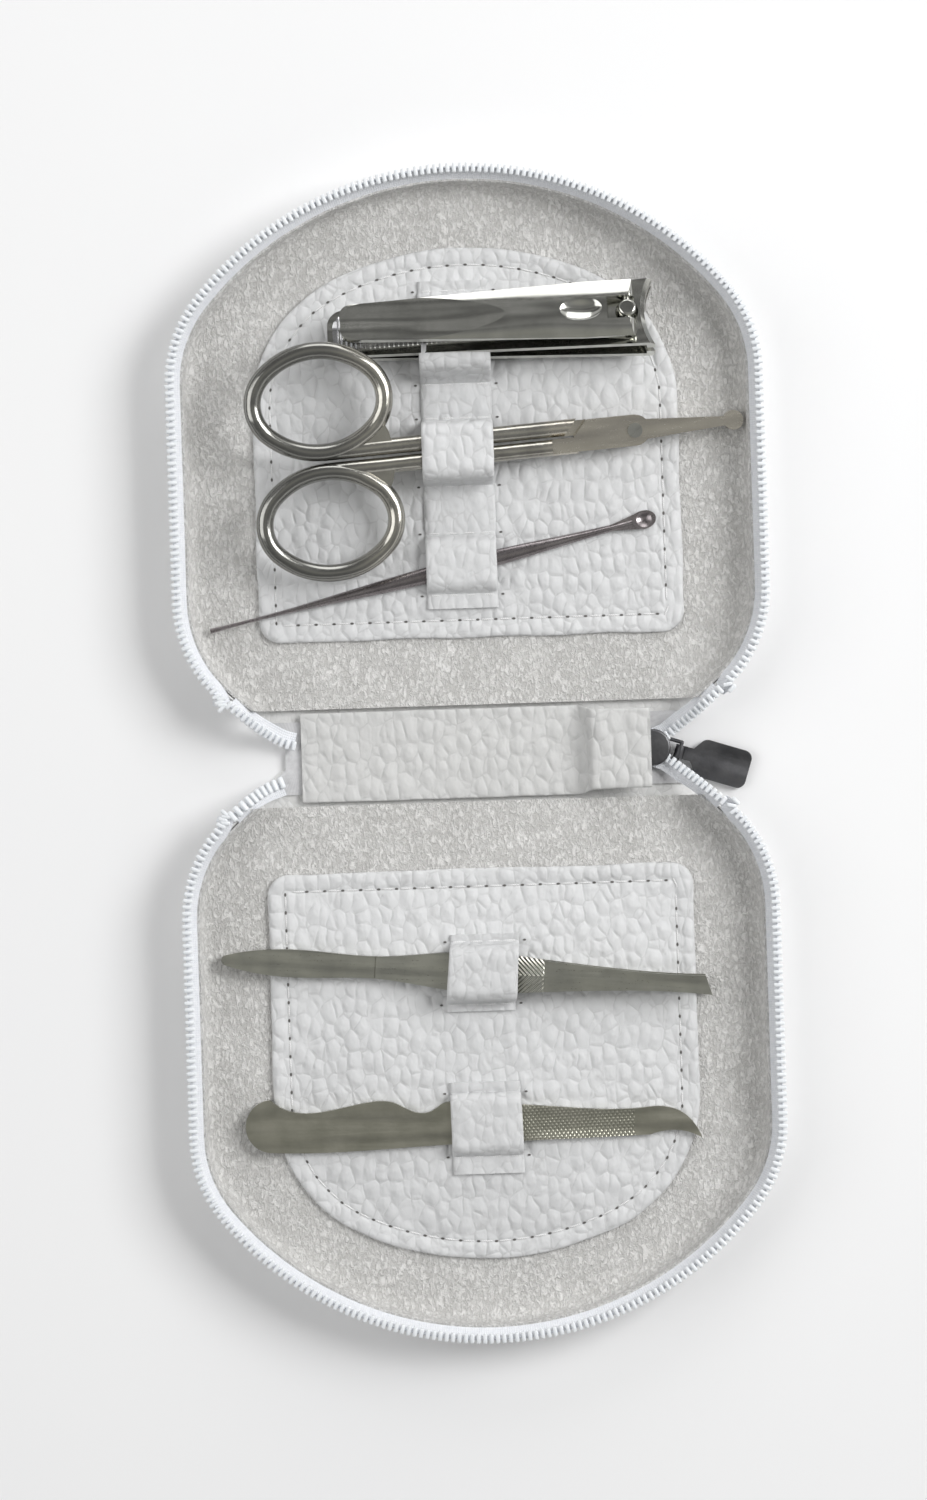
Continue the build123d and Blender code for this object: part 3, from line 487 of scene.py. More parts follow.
for half, sign in (("upper", 1), ("lower", -1)):
    def wall_point(column, row):
        inset, z = cover_profile[row]
        x, y = in_from(cover_rim[column], inset)
        ripple = 0.14 * noise.noise(Vector((x * 0.11, y * 0.11, 3.0 * sign))) if 2 < row < 9 else 0
        x, y = in_from_cut(cover_rim, column, inset + ripple)
        return x, sign * max(y, 8.75), z

    shell = cloth(f"{half}_leather_cover", len(cover_rim), len(cover_profile), wall_point)

    floor_rim = {
        tuple(
            round(c, 3) for c in wall_point(column, len(cover_profile) - 1)
        ) for column in range(len(cover_rim))
    }

    def fill_floor():
        select_where(lambda p: tuple(round(c, 3) for c in p) in floor_rim)
        bpy.ops.mesh.edge_face_add()

    edited(shell, merge_and_face_out, fill_floor, merge_and_face_out)
    applied(shell, "SOLIDIFY", thickness=0.6 * mm, offset=-1)
    smooth(shell, 60)
    set_on(shell, cover_leather, f"{half}_half")
    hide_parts(f"{half}_cover")
    hem = [(Vector((p.x, sign * p.y, p.z)), Vector((a.x, sign * a.y, 0)), Vector((o.x, sign * o.y, 0)))
           for p, a, o in spaced(cover_rim, stitch_pitch, 1.42, 5.45, None)]
    threads = thread_along(f"{half}_hem_stitches", hem)
    set_on(threads, thread_white, f"{half}_half")

# ---- stiffening boards ----
# A grey fibre board lies between the cover and the lining of each half and keeps its back flat.
# It is glued in and can't be seen in the finished case.
board_grey, tree, shader = finish_of("fibre_board")
place = millimetres(tree)
fleck = noise_at(tree, place, 1.4, 6.0)
paint(tree, shader, fleck.outputs["Fac"], (0.38, 0.37, 0.35), (0.56, 0.54, 0.5))
shader.inputs["Roughness"].default_value = 0.9
for half in ("upper", "lower"):
    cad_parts[f"{half}_board"].material_slots[0].material = board_grey

# ---- leatherette back of the spine ----
# One strip of the cover's leatherette joins both halves. It is soft at the two folds, so each
# fold is a loose piece of its own between the spine and its half.
def slant_x(y, inset):
    return waist_x + (y - waist_y) * tan(slant) - inset / cos(slant)


def back_piece(name, low, high, rows):
    def place(column, row):
        y = low + (high - low) * row / (rows - 1)
        half = slant_x(abs(y), 0.4 + 1.1 * min(1, max(0, (abs(y) - 7) / 3)))
        soft = 0.12 * noise.noise(Vector((column * 0.35, y * 0.2, 7)))
        return (column / 23 - 1) * half, y, 0.62 + soft * 0.3

    piece = cloth(name, 47, rows, place)
    applied(piece, "SOLIDIFY", thickness=0.6 * mm, offset=-1)
    smooth(piece)
    return piece


back = back_piece("spine_back", -6.6, 6.6, 9)
set_on(back, cover_leather, "spine")
for half, sign in (("upper", 1), ("lower", -1)):
    ends = (6.6, 10.4) if sign > 0 else (-10.4, -6.6)
    fold = back_piece(f"{half}_fold", *ends, 9)
    set_on(fold, cover_leather)
    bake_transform(fold)
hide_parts("spine_cover")

# ---- suede linings ----
# A warm off-white suede lines the tray of each half: glued flat on the board, up the wall and
# sewn in with the zip. Where its nap catches the light in small streaks, the streaks are painted into its
# colour as painted sheen.
nap, pin, pout = group_of("suede_nap", [("Place", "NodeSocketVector", None)], ["Height", "Tone"])
coarse = noise_at(nap, pin.outputs["Place"], 0.16, 3.0)
stroke_place = joined(
    nap, "ShaderNodeMapping", None,
    {"Vector": pin.outputs["Place"], "Rotation": (0, 0, 0.35), "Scale": (1.25, 0.7, 1.0)}
)
stroke = joined(
    nap, "ShaderNodeTexNoise", None,
    {"Vector": stroke_place.outputs[0], "Scale": 1.3, "Detail": 4.0, "Roughness": 0.6, "Distortion": 0.8}
)
hair = noise_at(nap, pin.outputs["Place"], 4.2, 3.0)
tuft = level(nap, stroke.outputs["Fac"], 0.36, 0.64, 0.0, 1.0, soft=True)
fuzz = level(nap, hair.outputs["Fac"], 0.35, 0.65, 0.0, 0.3)
nap.links.new(sum_of(nap, tuft, fuzz), pout.inputs["Height"])
# Tone: the raised tufts and fuzz are painted lighter as painted sheen, over broad patches of the suede's own
# tone.
fine = sum_of(nap, sum_of(nap, tuft, 0.6, "MULTIPLY"), sum_of(nap, fuzz, 0.6, "MULTIPLY"))
nap.links.new(
    sum_of(nap, fine, level(nap, coarse.outputs["Fac"], 0.3, 0.7, 0.0, 0.22)), pout.inputs["Tone"]
)

suede, tree, shader = finish_of("off_white_suede")
brushed = use_group(tree, nap, {"Place": millimetres(tree)})
paint(tree, shader, brushed.outputs["Tone"], (0.5, 0.492, 0.476), (0.86, 0.852, 0.836))
tree.links.new(bump_of(tree, brushed.outputs["Height"], 0.85, 0.24), shader.inputs["Normal"])
shader.inputs["Roughness"].default_value = 0.95
shader.inputs["Specular IOR Level"].default_value = 0.15
shader.inputs["Sheen Weight"].default_value = 0.25
shader.inputs["Sheen Roughness"].default_value = 0.5

lining_rim = rim_from(8.75)
lining_profile = [
    (2.3, 6.75), (2.75, 6.85), (3.0, 6.3), (2.95, 5.2), (3.05, 4.2), (3.4, 3.35), (4.1, 2.6),
    (5.2, 2.2), (6.6, 2.06), (9.0, 2.0),
]


def lining_height(x, y):
    """The lining is glued down by hand, so it is not quite flat where nothing covers it."""
    free = min(1.0, max(0.0, (abs(y) - 9.6) / 3))
    return 2.0 + 0.10 * free * noise.noise(Vector((x * 0.09, y * 0.09, 1.3)))


for half, sign in (("upper", 1), ("lower", -1)):
    def tray_point(column, row):
        inset, z = lining_profile[row]
        x, y = in_from_cut(lining_rim, column, inset)
        if 1 < row < 7:
            pucker = noise.noise(Vector((x * 0.16, y * 0.16, 5.0 * sign)))
            x, y = in_from_cut(lining_rim, column, inset + 0.16 * pucker)
        if row > 7:
            z = lining_height(x, sign * y)
        return x, sign * max(y, 8.6), z

    tray = cloth(f"{half}_suede_tray", len(lining_rim), len(lining_profile), tray_point)
    last = len(lining_profile) - 1
    floor_edge = {tuple(round(c, 3) for c in tray_point(column, last)) for column in range(len(lining_rim))}

    def fill_floor():
        select_where(lambda p: tuple(round(c, 3) for c in p) in floor_edge)
        bpy.ops.mesh.edge_face_add()

    edited(tray, merge_and_face_out, fill_floor)
    smooth(tray, 60)
    set_on(tray, suede, f"{half}_half")
    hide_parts(f"{half}_lining")

# ---- zip tapes ----
# White woven tape is sewn in along the top of the wall and leans outwards to the teeth. At both
# waists it leaves the half and comes down to the spine in end pieces of their own.
weave, pin, pout = group_of(
    "woven_tape", [("Place", "NodeSocketVector", None), ("Pitch", "NodeSocketFloat", 0.42)],
    ["Height", "Tone"]
)
per = sum_of(weave, 1.0, pin.outputs["Pitch"], "DIVIDE")
thread_place = joined(
    weave, "ShaderNodeVectorMath", {"operation": "SCALE"}, {0: pin.outputs["Place"], "Scale": per}
)
warp = joined(
    weave, "ShaderNodeTexWave", {"bands_direction": "X"},
    {"Vector": thread_place.outputs[0], "Scale": 0.314, "Distortion": 0.5, "Detail": 2.0}
)
weft = joined(
    weave, "ShaderNodeTexWave", {"bands_direction": "Y"},
    {"Vector": thread_place.outputs[0], "Scale": 0.314, "Distortion": 0.5, "Detail": 2.0}
)
lint = noise_at(weave, pin.outputs["Place"], 1.1, 3.0)
crossing = sum_of(weave, warp.outputs["Fac"], weft.outputs["Fac"], "MULTIPLY")
weave.links.new(
    sum_of(weave, crossing, sum_of(weave, lint.outputs["Fac"], 0.3, "MULTIPLY")), pout.inputs["Height"]
)
weave.links.new(
    sum_of(
        weave, sum_of(weave, crossing, 0.5, "MULTIPLY"),
        level(weave, lint.outputs["Fac"], 0.35, 0.65, 0.0, 0.5)
    ),
    pout.inputs["Tone"]
)


def woven_finish(name, low, high, pitch, rough=0.7):
    material, tree, shader = finish_of(name)
    threads = use_group(tree, weave, {"Place": millimetres(tree, "UV"), "Pitch": pitch})
    paint(tree, shader, threads.outputs["Tone"], low, high)
    tree.links.new(bump_of(tree, threads.outputs["Height"], 0.6, 0.12), shader.inputs["Normal"])
    shader.inputs["Roughness"].default_value = rough
    return material


tape_white = woven_finish("white_zip_tape", (0.74, 0.76, 0.8), (0.88, 0.89, 0.92), 0.42)

teeth_inset, teeth_z = 0.7, 8.98
right_run = [(44.0, 10.0, teeth_z), (41.7, 8.0, 8.3), (39.4, 6.0, 6.4), (37.2, 4.2, 4.3), (35.5, 2.75, 3.0),
             (34.4, 1.95, 2.78), (33.2, 1.5, 2.75), (31.4, 0.8, 2.75), (29.0, 0.72, 2.75)]
left_ends = {
    1: [
        (-44.0, 10.0, teeth_z), (-41.7, 8.0, 8.3), (-39.4, 6.0, 6.4), (-37.1, 4.3, 4.2), (-35.0, 3.0, 2.9),
        (-32.9, 2.35, 2.35)
    ],
    -1: [
        (-44.0, 10.0, teeth_z), (-41.7, 8.0, 8.3), (-39.6, 6.4, 6.0), (-37.8, 5.3, 4.0), (-36.4, 4.7, 2.9),
        (-35.3, 4.3, 2.5)
    ],
}


def through(points, step):
    """A smooth line through some points, cut into even steps."""
    dense = []
    padded = [points[0], *points, points[-1]]
    for a, b, c, d in zip(padded, padded[1:], padded[2:], padded[3:]):
        for n in range(24):
            t = n / 24
            dense.append(Vector([
                0.5 * (2 * q + (r - p) * t + (2 * p - 5 * q + 4 * r - s) * t * t
                    + (3 * q - p - 3 * r + s) * t**3)
                                 for p, q, r, s in zip(a, b, c, d)]))
    dense.append(Vector(points[-1]))
    length = sum((b - a).length for a, b in zip(dense, dense[1:]))
    count = max(2, round(length / step))
    found, travelled, index = [dense[0]], 0.0, 0
    for n in range(1, count):
        wanted = length * n / count
        while travelled + (dense[index + 1] - dense[index]).length < wanted:
            travelled += (dense[index + 1] - dense[index]).length
            index += 1
        gap = (dense[index + 1] - dense[index]).length
        found.append(dense[index].lerp(dense[index + 1], (wanted - travelled) / gap))
    return found + [dense[-1]]


def half_zip_line(step):
    """The middle of the teeth round a half, from the right waist to the left one."""
    return through(
        [
            (*in_from(p, teeth_inset), teeth_z) for p in rim_from(10.6)[::2]
        ] + [(*in_from(rim_from(10.6)[-1], teeth_inset), teeth_z)],
        step
    )


def inward(line, index):
    """Level direction from the teeth towards the inside of the case, for a line that runs anticlockwise."""
    a, b = line[max(0, index - 1)], line[min(len(line) - 1, index + 1)]
    ahead = Vector((b.x - a.x, b.y - a.y, 0)).normalized()
    return Vector((-ahead.y, ahead.x, 0))


def drop_share(z):
    """1 where the tape stands on the wall of a half, 0 where it lies flat on the spine."""
    return min(1.0, max(0.0, (z - 2.75) / (teeth_z - 2.75)))


def tape_along(name, line, sign):
    def place(column, row):
        p = line[column]
        side = inward(line, column)
        stand = drop_share(p.z)
        share = row / 6
        reach_in = -0.25 + share * (1.95 * stand + 2.6 * (1 - stand))
        sink = 0.42 + stand * 2.0 * share**0.8 + (1 - stand) * 0.25 * share
        spot = p + side * reach_in
        z = p.z - sink
        return spot.x, sign * spot.y, z

    piece = cloth(name, len(line), 7, place)
    applied(piece, "SOLIDIFY", thickness=0.3 * mm, offset=0)
    edited(piece, merge_and_face_out)
    smooth(piece)
    piece.data.materials.append(tape_white)
    return piece


def waist_line(points, step):
    """A waist's run, turned so that it goes anticlockwise round its half."""
    line = through(points, step)
    return line if points[0][0] < 0 else line[::-1]


for half, sign in (("upper", 1), ("lower", -1)):
    tape = tape_along(f"{half}_tape", half_zip_line(1.5), sign)
    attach(tape, f"{half}_half")
    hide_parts(f"{half}_zip_tape")
    for side, points, node in (
        ("right", right_run, "right_zip_end"), ("left", left_ends[sign], "left_zip_end")
    ):
        end = tape_along(f"{half}_{side}_tape_end", waist_line(points, 0.8), sign)
        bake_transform(end)
        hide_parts(node)

# ---- zip teeth ----
# The teeth are a white nylon coil: small rounded beads side by side across the tape's edge;
# the line of sewing on their inner side is not drawn.
nylon, tree, shader = finish_of("white_nylon")
place = millimetres(tree)
cloud = noise_at(tree, place, 0.9, 3.0)
paint(tree, shader, cloud.outputs["Fac"], (0.74, 0.77, 0.8), (0.86, 0.88, 0.9))
tree.links.new(level(tree, cloud.outputs["Fac"], 0.3, 0.7, 0.28, 0.42), shader.inputs["Roughness"])
shader.inputs["Subsurface Weight"].default_value = 0.1
shader.inputs["Subsurface Radius"].default_value = (0.0006, 0.0006, 0.0006)

bpy.ops.object.select_all(action="DESELECT")
bpy.ops.mesh.primitive_cube_add(size=1)
tooth = bpy.context.object
tooth.name = "tooth_pattern"
edited(tooth, lambda: bpy.ops.transform.resize(value=(0.74, 1.75, 1.0)))
applied(tooth, "BEVEL", width=0.24, segments=2, limit_method="NONE")
tooth_spots = [v.co.copy() for v in tooth.data.vertices]
tooth_faces = [tuple(f.vertices) for f in tooth.data.polygons]
bpy.data.objects.remove(tooth)


def teeth_along(name, line, sign, swell=1.0):
    made, shell = [], []
    for index in range(len(line)):
        side = inward(line, index)
        p = line[index]
        a, b = line[max(0, index - 1)], line[min(len(line) - 1, index + 1)]
        ahead = (b - a).normalized()
        up = side.cross(ahead).normalized() * -1
        up = up if up.z > 0 else -up
        start = len(made)
        for v in tooth_spots:
            spot = p + ahead * v.x * swell - side * (v.y + 0.02) * swell + up * (v.z * 1.02 - 0.06)
            made.append((spot.x * mm, sign * spot.y * mm, spot.z * mm))
        shell += [tuple(start + i for i in f) for f in tooth_faces]
    mesh = bpy.data.meshes.new(name)
    mesh.from_pydata(made, [], shell)
    piece = bpy.data.objects.new(name, mesh)
    bpy.context.collection.objects.link(piece)
    edited(
        piece, lambda: bpy.ops.mesh.select_all(action="SELECT"),
        lambda: bpy.ops.mesh.normals_make_consistent(inside=False)
    )
    mesh.polygons.foreach_set("use_smooth", [True] * len(mesh.polygons))
    mesh.materials.append(nylon)
    return piece


tooth_pitch = 1.15
for half, sign in (("upper", 1), ("lower", -1)):
    chain = teeth_along(f"{half}_teeth", half_zip_line(tooth_pitch), sign)
    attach(chain, f"{half}_half")
    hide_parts(f"{half}_zip_coil")
    for side, points in (("right", right_run), ("left", left_ends[sign])):
        swell = 1.25 if side == "left" and sign < 0 else 1.0
        ends = teeth_along(f"{half}_{side}_teeth", waist_line(points, tooth_pitch * swell), sign, swell)
        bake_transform(ends)

# ---- tool panels ----
# A pebbled white panel is sewn on each lining, straight along the spine and round at the far
# end, with one row of stitches near its edge that pulls its surface in.
# The last colour is the painted shade in the creases.
panel_leather = leather_finish(
    "pebbled_leatherette", 2.2, 3.3, 0.34, (0.68, 0.685, 0.69), (0.47, 0.47, 0.47)
)
# Painted shade: a needle hole shows only shade, so a dark disc stands for it; the noise varies how dark it is.
needle_hole_shade, tree, shader = finish_of("needle_hole")
place = millimetres(tree)
hole_shade_mottle = joined(tree, "ShaderNodeTexNoise", None, {"Vector": place, "Scale": 3.0})
paint(tree, shader, hole_shade_mottle.outputs["Fac"], (0.05, 0.05, 0.05), (0.2, 0.19, 0.18))
shader.inputs["Roughness"].default_value = 0.9

panel_half, panel_near, panel_far = 38.5, 20.9, 91.5
panel_far_r, panel_corner_r, panel_near_r = 55.0, 26.0, 4.0
panel_x, panel_y = panel_half - panel_corner_r, panel_far - panel_far_r
panel_corner_y = panel_y + sqrt((panel_far_r - panel_corner_r) ** 2 - panel_x**2)
panel_turn = atan2(panel_corner_y - panel_y, panel_x)
near_x, near_y = panel_half - panel_near_r, panel_near + panel_near_r
panel_rim = [
    *run((-near_x, panel_near), (near_x, panel_near)),
    *bend(near_x, near_y, panel_near_r, -pi / 2, pi / 2, 0.7),
    *run((panel_half, near_y), (panel_half, panel_corner_y)),
    *bend(panel_x, panel_corner_y, panel_corner_r, 0, panel_turn),
    *bend(0, panel_y, panel_far_r, panel_turn, pi - 2 * panel_turn),
    *bend(-panel_x, panel_corner_y, panel_corner_r, pi - panel_turn, panel_turn),
    *run((-panel_half, panel_corner_y), (-panel_half, near_y)),
    *bend(-near_x, near_y, panel_near_r, pi, pi / 2, 0.7),
]
panel_profile = [
    (0.5, 2.0), (0.12, 2.1), (0.0, 2.4), (0.06, 2.72), (0.35, 2.96), (0.9, 3.05), (2.2, 3.02), (2.85, 2.9),
    (3.2, 2.74), (3.5, 2.88), (3.85, 3.0),
]


def holes_at(name, points, size=0.34):
    """Needle holes: small dark discs at both ends of each stitch, painted as the shade inside the pits."""
    bpy.ops.object.select_all(action="DESELECT")
    bpy.ops.mesh.primitive_cylinder_add(vertices=8, radius=1, depth=1)
    model = bpy.context.object
    spots = [v.co.copy() for v in model.data.vertices]
    faces = [tuple(f.vertices) for f in model.data.polygons]
    bpy.data.objects.remove(model)
    made, shell = [], []
    for place, along, out in points:
        start = len(made)
        across = out.cross(along).normalized()
        for v in spots:
            made.append(
                (place + along * (v.x * size) + across * (v.y * size * 0.62) + out * (v.z * 0.1)) * mm
            )
        shell += [tuple(start + i for i in f) for f in faces]
    mesh = bpy.data.meshes.new(name)
    mesh.from_pydata(made, [], shell)
    piece = bpy.data.objects.new(name, mesh)
    bpy.context.collection.objects.link(piece)
    return piece


def mirrored(points, sign):
    return [tuple(Vector((v.x, sign * v.y, v.z)) for v in item) for item in points]


up = Vector((0, 0, 1))
for half, sign in (("upper", 1), ("lower", -1)):
    def panel_point(column, row):
        inset, z = panel_profile[row]
        wave = noise.noise(Vector((panel_rim[column][0] * 0.12, panel_rim[column][1] * 0.12, 9.0 * sign)))
        x, y = in_from(panel_rim[column], inset + (0.25 * wave if row < 7 else 0))
        return x, sign * y, z

    sheet = cloth(f"{half}_panel", len(panel_rim) + 1, len(panel_profile), panel_point, wrap=True)
    last = len(panel_profile) - 1
    spots = {tuple(round(c, 3) for c in panel_point(column, last)) for column in range(len(panel_rim))}
    feet = {tuple(round(c, 3) for c in panel_point(column, 0)) for column in range(len(panel_rim))}

    def fill(places):
        select_where(lambda p: tuple(round(c, 3) for c in p) in places)
        bpy.ops.mesh.edge_face_add()

    edited(sheet, merge_and_face_out, lambda: fill(spots), lambda: fill(feet), merge_and_face_out)
    smooth(sheet, 60)
    set_on(sheet, panel_leather, f"{half}_half")
    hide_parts(f"{half}_tool_panel")
    stitches = mirrored(spaced(panel_rim, stitch_pitch, 3.2, 2.78, up, closed=True), sign)
    threads = thread_along(f"{half}_panel_stitches", stitches, length=2.5, radius=0.17)
    set_on(threads, thread_white, f"{half}_half")
    holes = holes_at(
        f"{half}_panel_needle_holes", [(p + a * 1.5 + up * 0.06, a, o) for p, a, o in stitches]
    )
    set_on(holes, needle_hole_shade, f"{half}_half")

# ---- straps ----
# Straps of the same pebbled leatherette, folded double with their edges turned in, are sewn to
# the panels at each seam. Between two seams they arch over a tool and hold it.
# The last colour is the painted shade in the creases.
strap_leather = leather_finish("strap_leatherette", 2.2, 3.4, 0.27, (0.66, 0.665, 0.67), (0.48, 0.48, 0.48))
panel_top, strap_thick = 3.0, 0.8


def rounded_line(corners, radius):
    """A line through (y, z) corners with each inner corner rounded."""
    found = [Vector(corners[0])]
    for a, b, c in zip(corners, corners[1:], corners[2:]):
        a, b, c = Vector(a), Vector(b), Vector(c)
        cut = min(radius, (b - a).length / 2, (c - b).length / 2)
        start, end = b + (a - b).normalized() * cut, b + (c - b).normalized() * cut
        found += [start.lerp(b, t).lerp(b.lerp(end, t), t) for t in (0, 0.2, 0.4, 0.6, 0.8, 1)]
    return found + [Vector(corners[-1])]


def strap_piece(name, x, width, corners, seams, node, body, lean=(0.0, 0.0), edge_wave=0.12):
    """A strap over the given (y, z) corners of its underside, with a sewn dent at each seam's y."""
    sign = 1 if corners[-1][0] > 0 else -1
    line = rounded_line([(abs(y), z) for y, z in corners], 1.3)
    dense = through([(0, p.x, p.y) for p in line], 0.7)
    ring = [(-0.5, 0.35), (-0.49, 0.12), (-0.47, 0.0), (0.47, 0.0), (0.49, 0.12), (0.5, 0.35),
            (0.492, 0.72), (0.465, 0.96),
            (0.4, 1.03), (0.2, 1.0), (0.0, 1.02), (-0.2, 1.0), (-0.4, 1.03), (-0.465, 0.96), (-0.492, 0.72)]
    low_y, high_y = dense[0].y, dense[-1].y

    def place(row, column):
        p = dense[column]
        a, b = dense[max(0, column - 1)], dense[min(len(dense) - 1, column + 1)]
        ahead = (b - a).normalized()
        out = Vector((0, -ahead.z, ahead.y))
        across, share = ring[row % len(ring)]
        dent = sum(max(0.0, 1 - abs(p.y - s) / 0.75) for s in seams) * (p.z < panel_top + 0.5)
        wave = edge_wave * noise.noise(Vector((across * 3, p.y * 0.3, 2.0)))
        thick = strap_thick * (share - (0.42 * dent if share > 0.5 else 0))
        spot = p + out * thick
        along = (p.y - low_y) / (high_y - low_y)
        shift = lean[0] + (lean[1] - lean[0]) * along
        return x + shift + across * (width - 0.25 * dent) + wave * abs(across) * 2, sign * spot.y, spot.z

    piece = cloth(name, len(ring) + 1, len(dense), place, wrap=True)
    edited(piece, merge_and_face_out)
    for column in (0, len(dense) - 1):
        mouth = {tuple(round(c, 3) for c in place(row, column)) for row in range(len(ring))}

        def fill_end():
            select_where(lambda p: tuple(round(c, 3) for c in p) in mouth)
            bpy.ops.mesh.edge_face_add()

        edited(piece, fill_end)
    edited(piece, merge_and_face_out)
    smooth(piece, 45)
    set_on(piece, strap_leather, body)
    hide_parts(node)
    sewn, pits = [], []
    for s in seams:
        share = (s - low_y) / (high_y - low_y)
        shift = lean[0] + (lean[1] - lean[0]) * share
        for n in range(4):
            centre = Vector((x + shift + (n - 1.5) * width / 4.1, sign * s, panel_top + strap_thick * 0.62))
            sewn.append((centre, Vector((1, 0, 0)), up))
        for edge in (-1, 1):
            pits.append(
                (
                    Vector((x + shift + edge * (width / 2 + 0.9), sign * s, panel_top + 0.1)),
                    Vector((1, 0, 0)), up
                )
            )
    threads = thread_along(f"{name}_stitches", sewn, length=2.6, radius=0.16)
    set_on(threads, thread_white, body)
    pricks = holes_at(f"{name}_needle_holes", pits, 0.3)
    set_on(pricks, needle_hole_shade, body)


tool_corners = [
    (26.2, 3.0), (29.7, 3.0), (30.3, 4.9), (38.1, 4.9), (38.7, 3.0),
    (49.4, 3.0), (50.0, 10.6), (58.8, 10.6), (59.4, 3.0), (67.8, 3.0),
    (70.2, 9.2), (81.2, 6.3), (82.2, 3.0), (85.4, 3.0),
]
strap_piece(
    "long_strap", -1.5, 12.8, tool_corners, (28.6, 39.8, 48.3, 60.6, 66.7, 83.6), "tool_strap", "upper_half"
)
strap_piece("tweezer_loop", -0.1, 12.6,
            [(-32.7, 3.0), (-35.0, 3.0), (-35.6, 7.6), (-43.7, 7.6), (-44.3, 3.0), (-46.6, 3.0)],
            (34.0, 45.4), "tweezer_strap", "lower_half", lean=(0.7, -0.5))
strap_piece("file_loop", -0.3, 12.9,
            [(-59.4, 3.0), (-61.8, 3.0), (-62.4, 4.75), (-71.5, 4.75), (-72.1, 3.0), (-76.0, 3.0)],
            (61.4, 72.9), "file_strap", "lower_half", lean=(0.0, 0.3))

# ---- spine strip ----
# A pebbled strip lies along the spine over both folds. Its right end is loose and lies over the
# slider.
strip_end, strip_half, ramp_start, ramp_end = 31.6, 8.1, 18.1, 21.6
strip_ring = [
    (-1.0, 0.5), (-0.997, 0.2), (-0.985, 0.0), (-0.84, 0.0), (-0.8, 0.0), (-0.3, 0.0),
    (0.3, 0.0), (0.8, 0.0), (0.84, 0.0), (0.985, 0.0),
    (0.997, 0.2), (1.0, 0.5), (0.99, 0.8), (0.965, 0.97), (0.9, 1.0),
    (0.6, 0.97), (0.3, 0.95), (0.0, 0.94), (-0.3, 0.95), (-0.6, 0.97),
    (-0.9, 1.0), (-0.965, 0.97), (-0.99, 0.8),
]
strip_rows = 90


def strip_point(column, row):
    across, share = strip_ring[column]
    x = -strip_end + 2 * strip_end * row / strip_rows
    t = min(1.0, max(0.0, (x - ramp_start) / (ramp_end - ramp_start)))
    rise = t * t * (3 - 2 * t)
    end_round = max(0.0, abs(x) - strip_end + 0.9) / 0.9
    half_w = (strip_half - 0.9 * rise) * (1 - 0.012 * end_round**2)
    wave = noise.noise(Vector((x * 0.09, across * 0.6, 4.0)))
    low = (1.52 if abs(across) > 0.82 else 0.75) * (1 - rise) + 4.46 * rise
    high = 1.82 * (1 - rise) + 5.13 * rise
    y = across * half_w + 0.1 * noise.noise(Vector((x * 0.16, across, 7.0))) * abs(across)
    z = low + (high - low) * share * (1 - 0.1 * end_round**2) + 0.05 * wave * share
    return x, y, z


strip = cloth("spine_strip_top", len(strip_ring) + 1, strip_rows + 1, strip_point, wrap=True)
mouths = [
    {
        tuple(round(c, 3) for c in strip_point(column, row)) for column in range(len(strip_ring))
    } for row in (0, strip_rows)
]
edited(strip, merge_and_face_out)
for mouth in mouths:
    def close_mouth():
        select_where(lambda p: tuple(round(c, 3) for c in p) in mouth)
        bpy.ops.mesh.edge_face_add()

    edited(strip, close_mouth)
edited(strip, merge_and_face_out)
smooth(strip, 50)
# The last colour is the painted shade in the creases.
strip_leather = leather_finish(
    "strip_leatherette", 2.3, 3.5, 0.34, (0.62, 0.62, 0.612), (0.45, 0.45, 0.445)
)
set_on(strip, strip_leather, "spine")
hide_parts("spine_strip")

# ---- waist satin ----
# A thin white satin covers the inside of the spine at both waists.
satin, tree, shader = finish_of("white_satin")
threads = use_group(tree, weave, {"Place": millimetres(tree, "UV"), "Pitch": 0.22})
paint(tree, shader, threads.outputs["Tone"], (0.56, 0.56, 0.57), (0.72, 0.72, 0.73))
folds = noise_at(tree, millimetres(tree), 0.35, 2.0)
soft = bump_of(tree, folds.outputs["Fac"], 0.5, 0.5)
fine = bump_of(tree, threads.outputs["Height"], 0.3, 0.05, soft)
tree.links.new(fine, shader.inputs["Normal"])
shader.inputs["Roughness"].default_value = 0.42
shader.inputs["Sheen Weight"].default_value = 0.3

for side, sign, start in (("right", 1, 21.7), ("left", -1, 31.7)):
    def satin_point(column, row):
        y = -6.6 + 13.2 * column / 32
        edge = waist_x + max(0.0, abs(y) - waist_y) * tan(slant) - 0.75 / cos(slant)
        x = start + (edge - start) * row / 28
        ripple = 0.06 * noise.noise(Vector((x * 0.5, y * 0.5, sign)))
        return sign * x, y, 0.97 + ripple * min(row, 28 - row, 4) / 4

    patch = cloth(f"{side}_satin", 33, 29, satin_point)
    applied(patch, "SOLIDIFY", thickness=0.2 * mm, offset=-1)
    edited(patch, merge_and_face_out)
    smooth(patch)
    set_on(patch, satin, "spine")
    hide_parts(f"{side}_waist_lining")


# ---- steel and nickel finishes ----
# Polished steel keeps faint wiping marks and cloudy patches, satin steel is brushed along its
# length, and the slider and its pull are dark bead-blasted nickel.
swell_depth = 1.4  # height of the broad unevenness of rolled and stamped steel


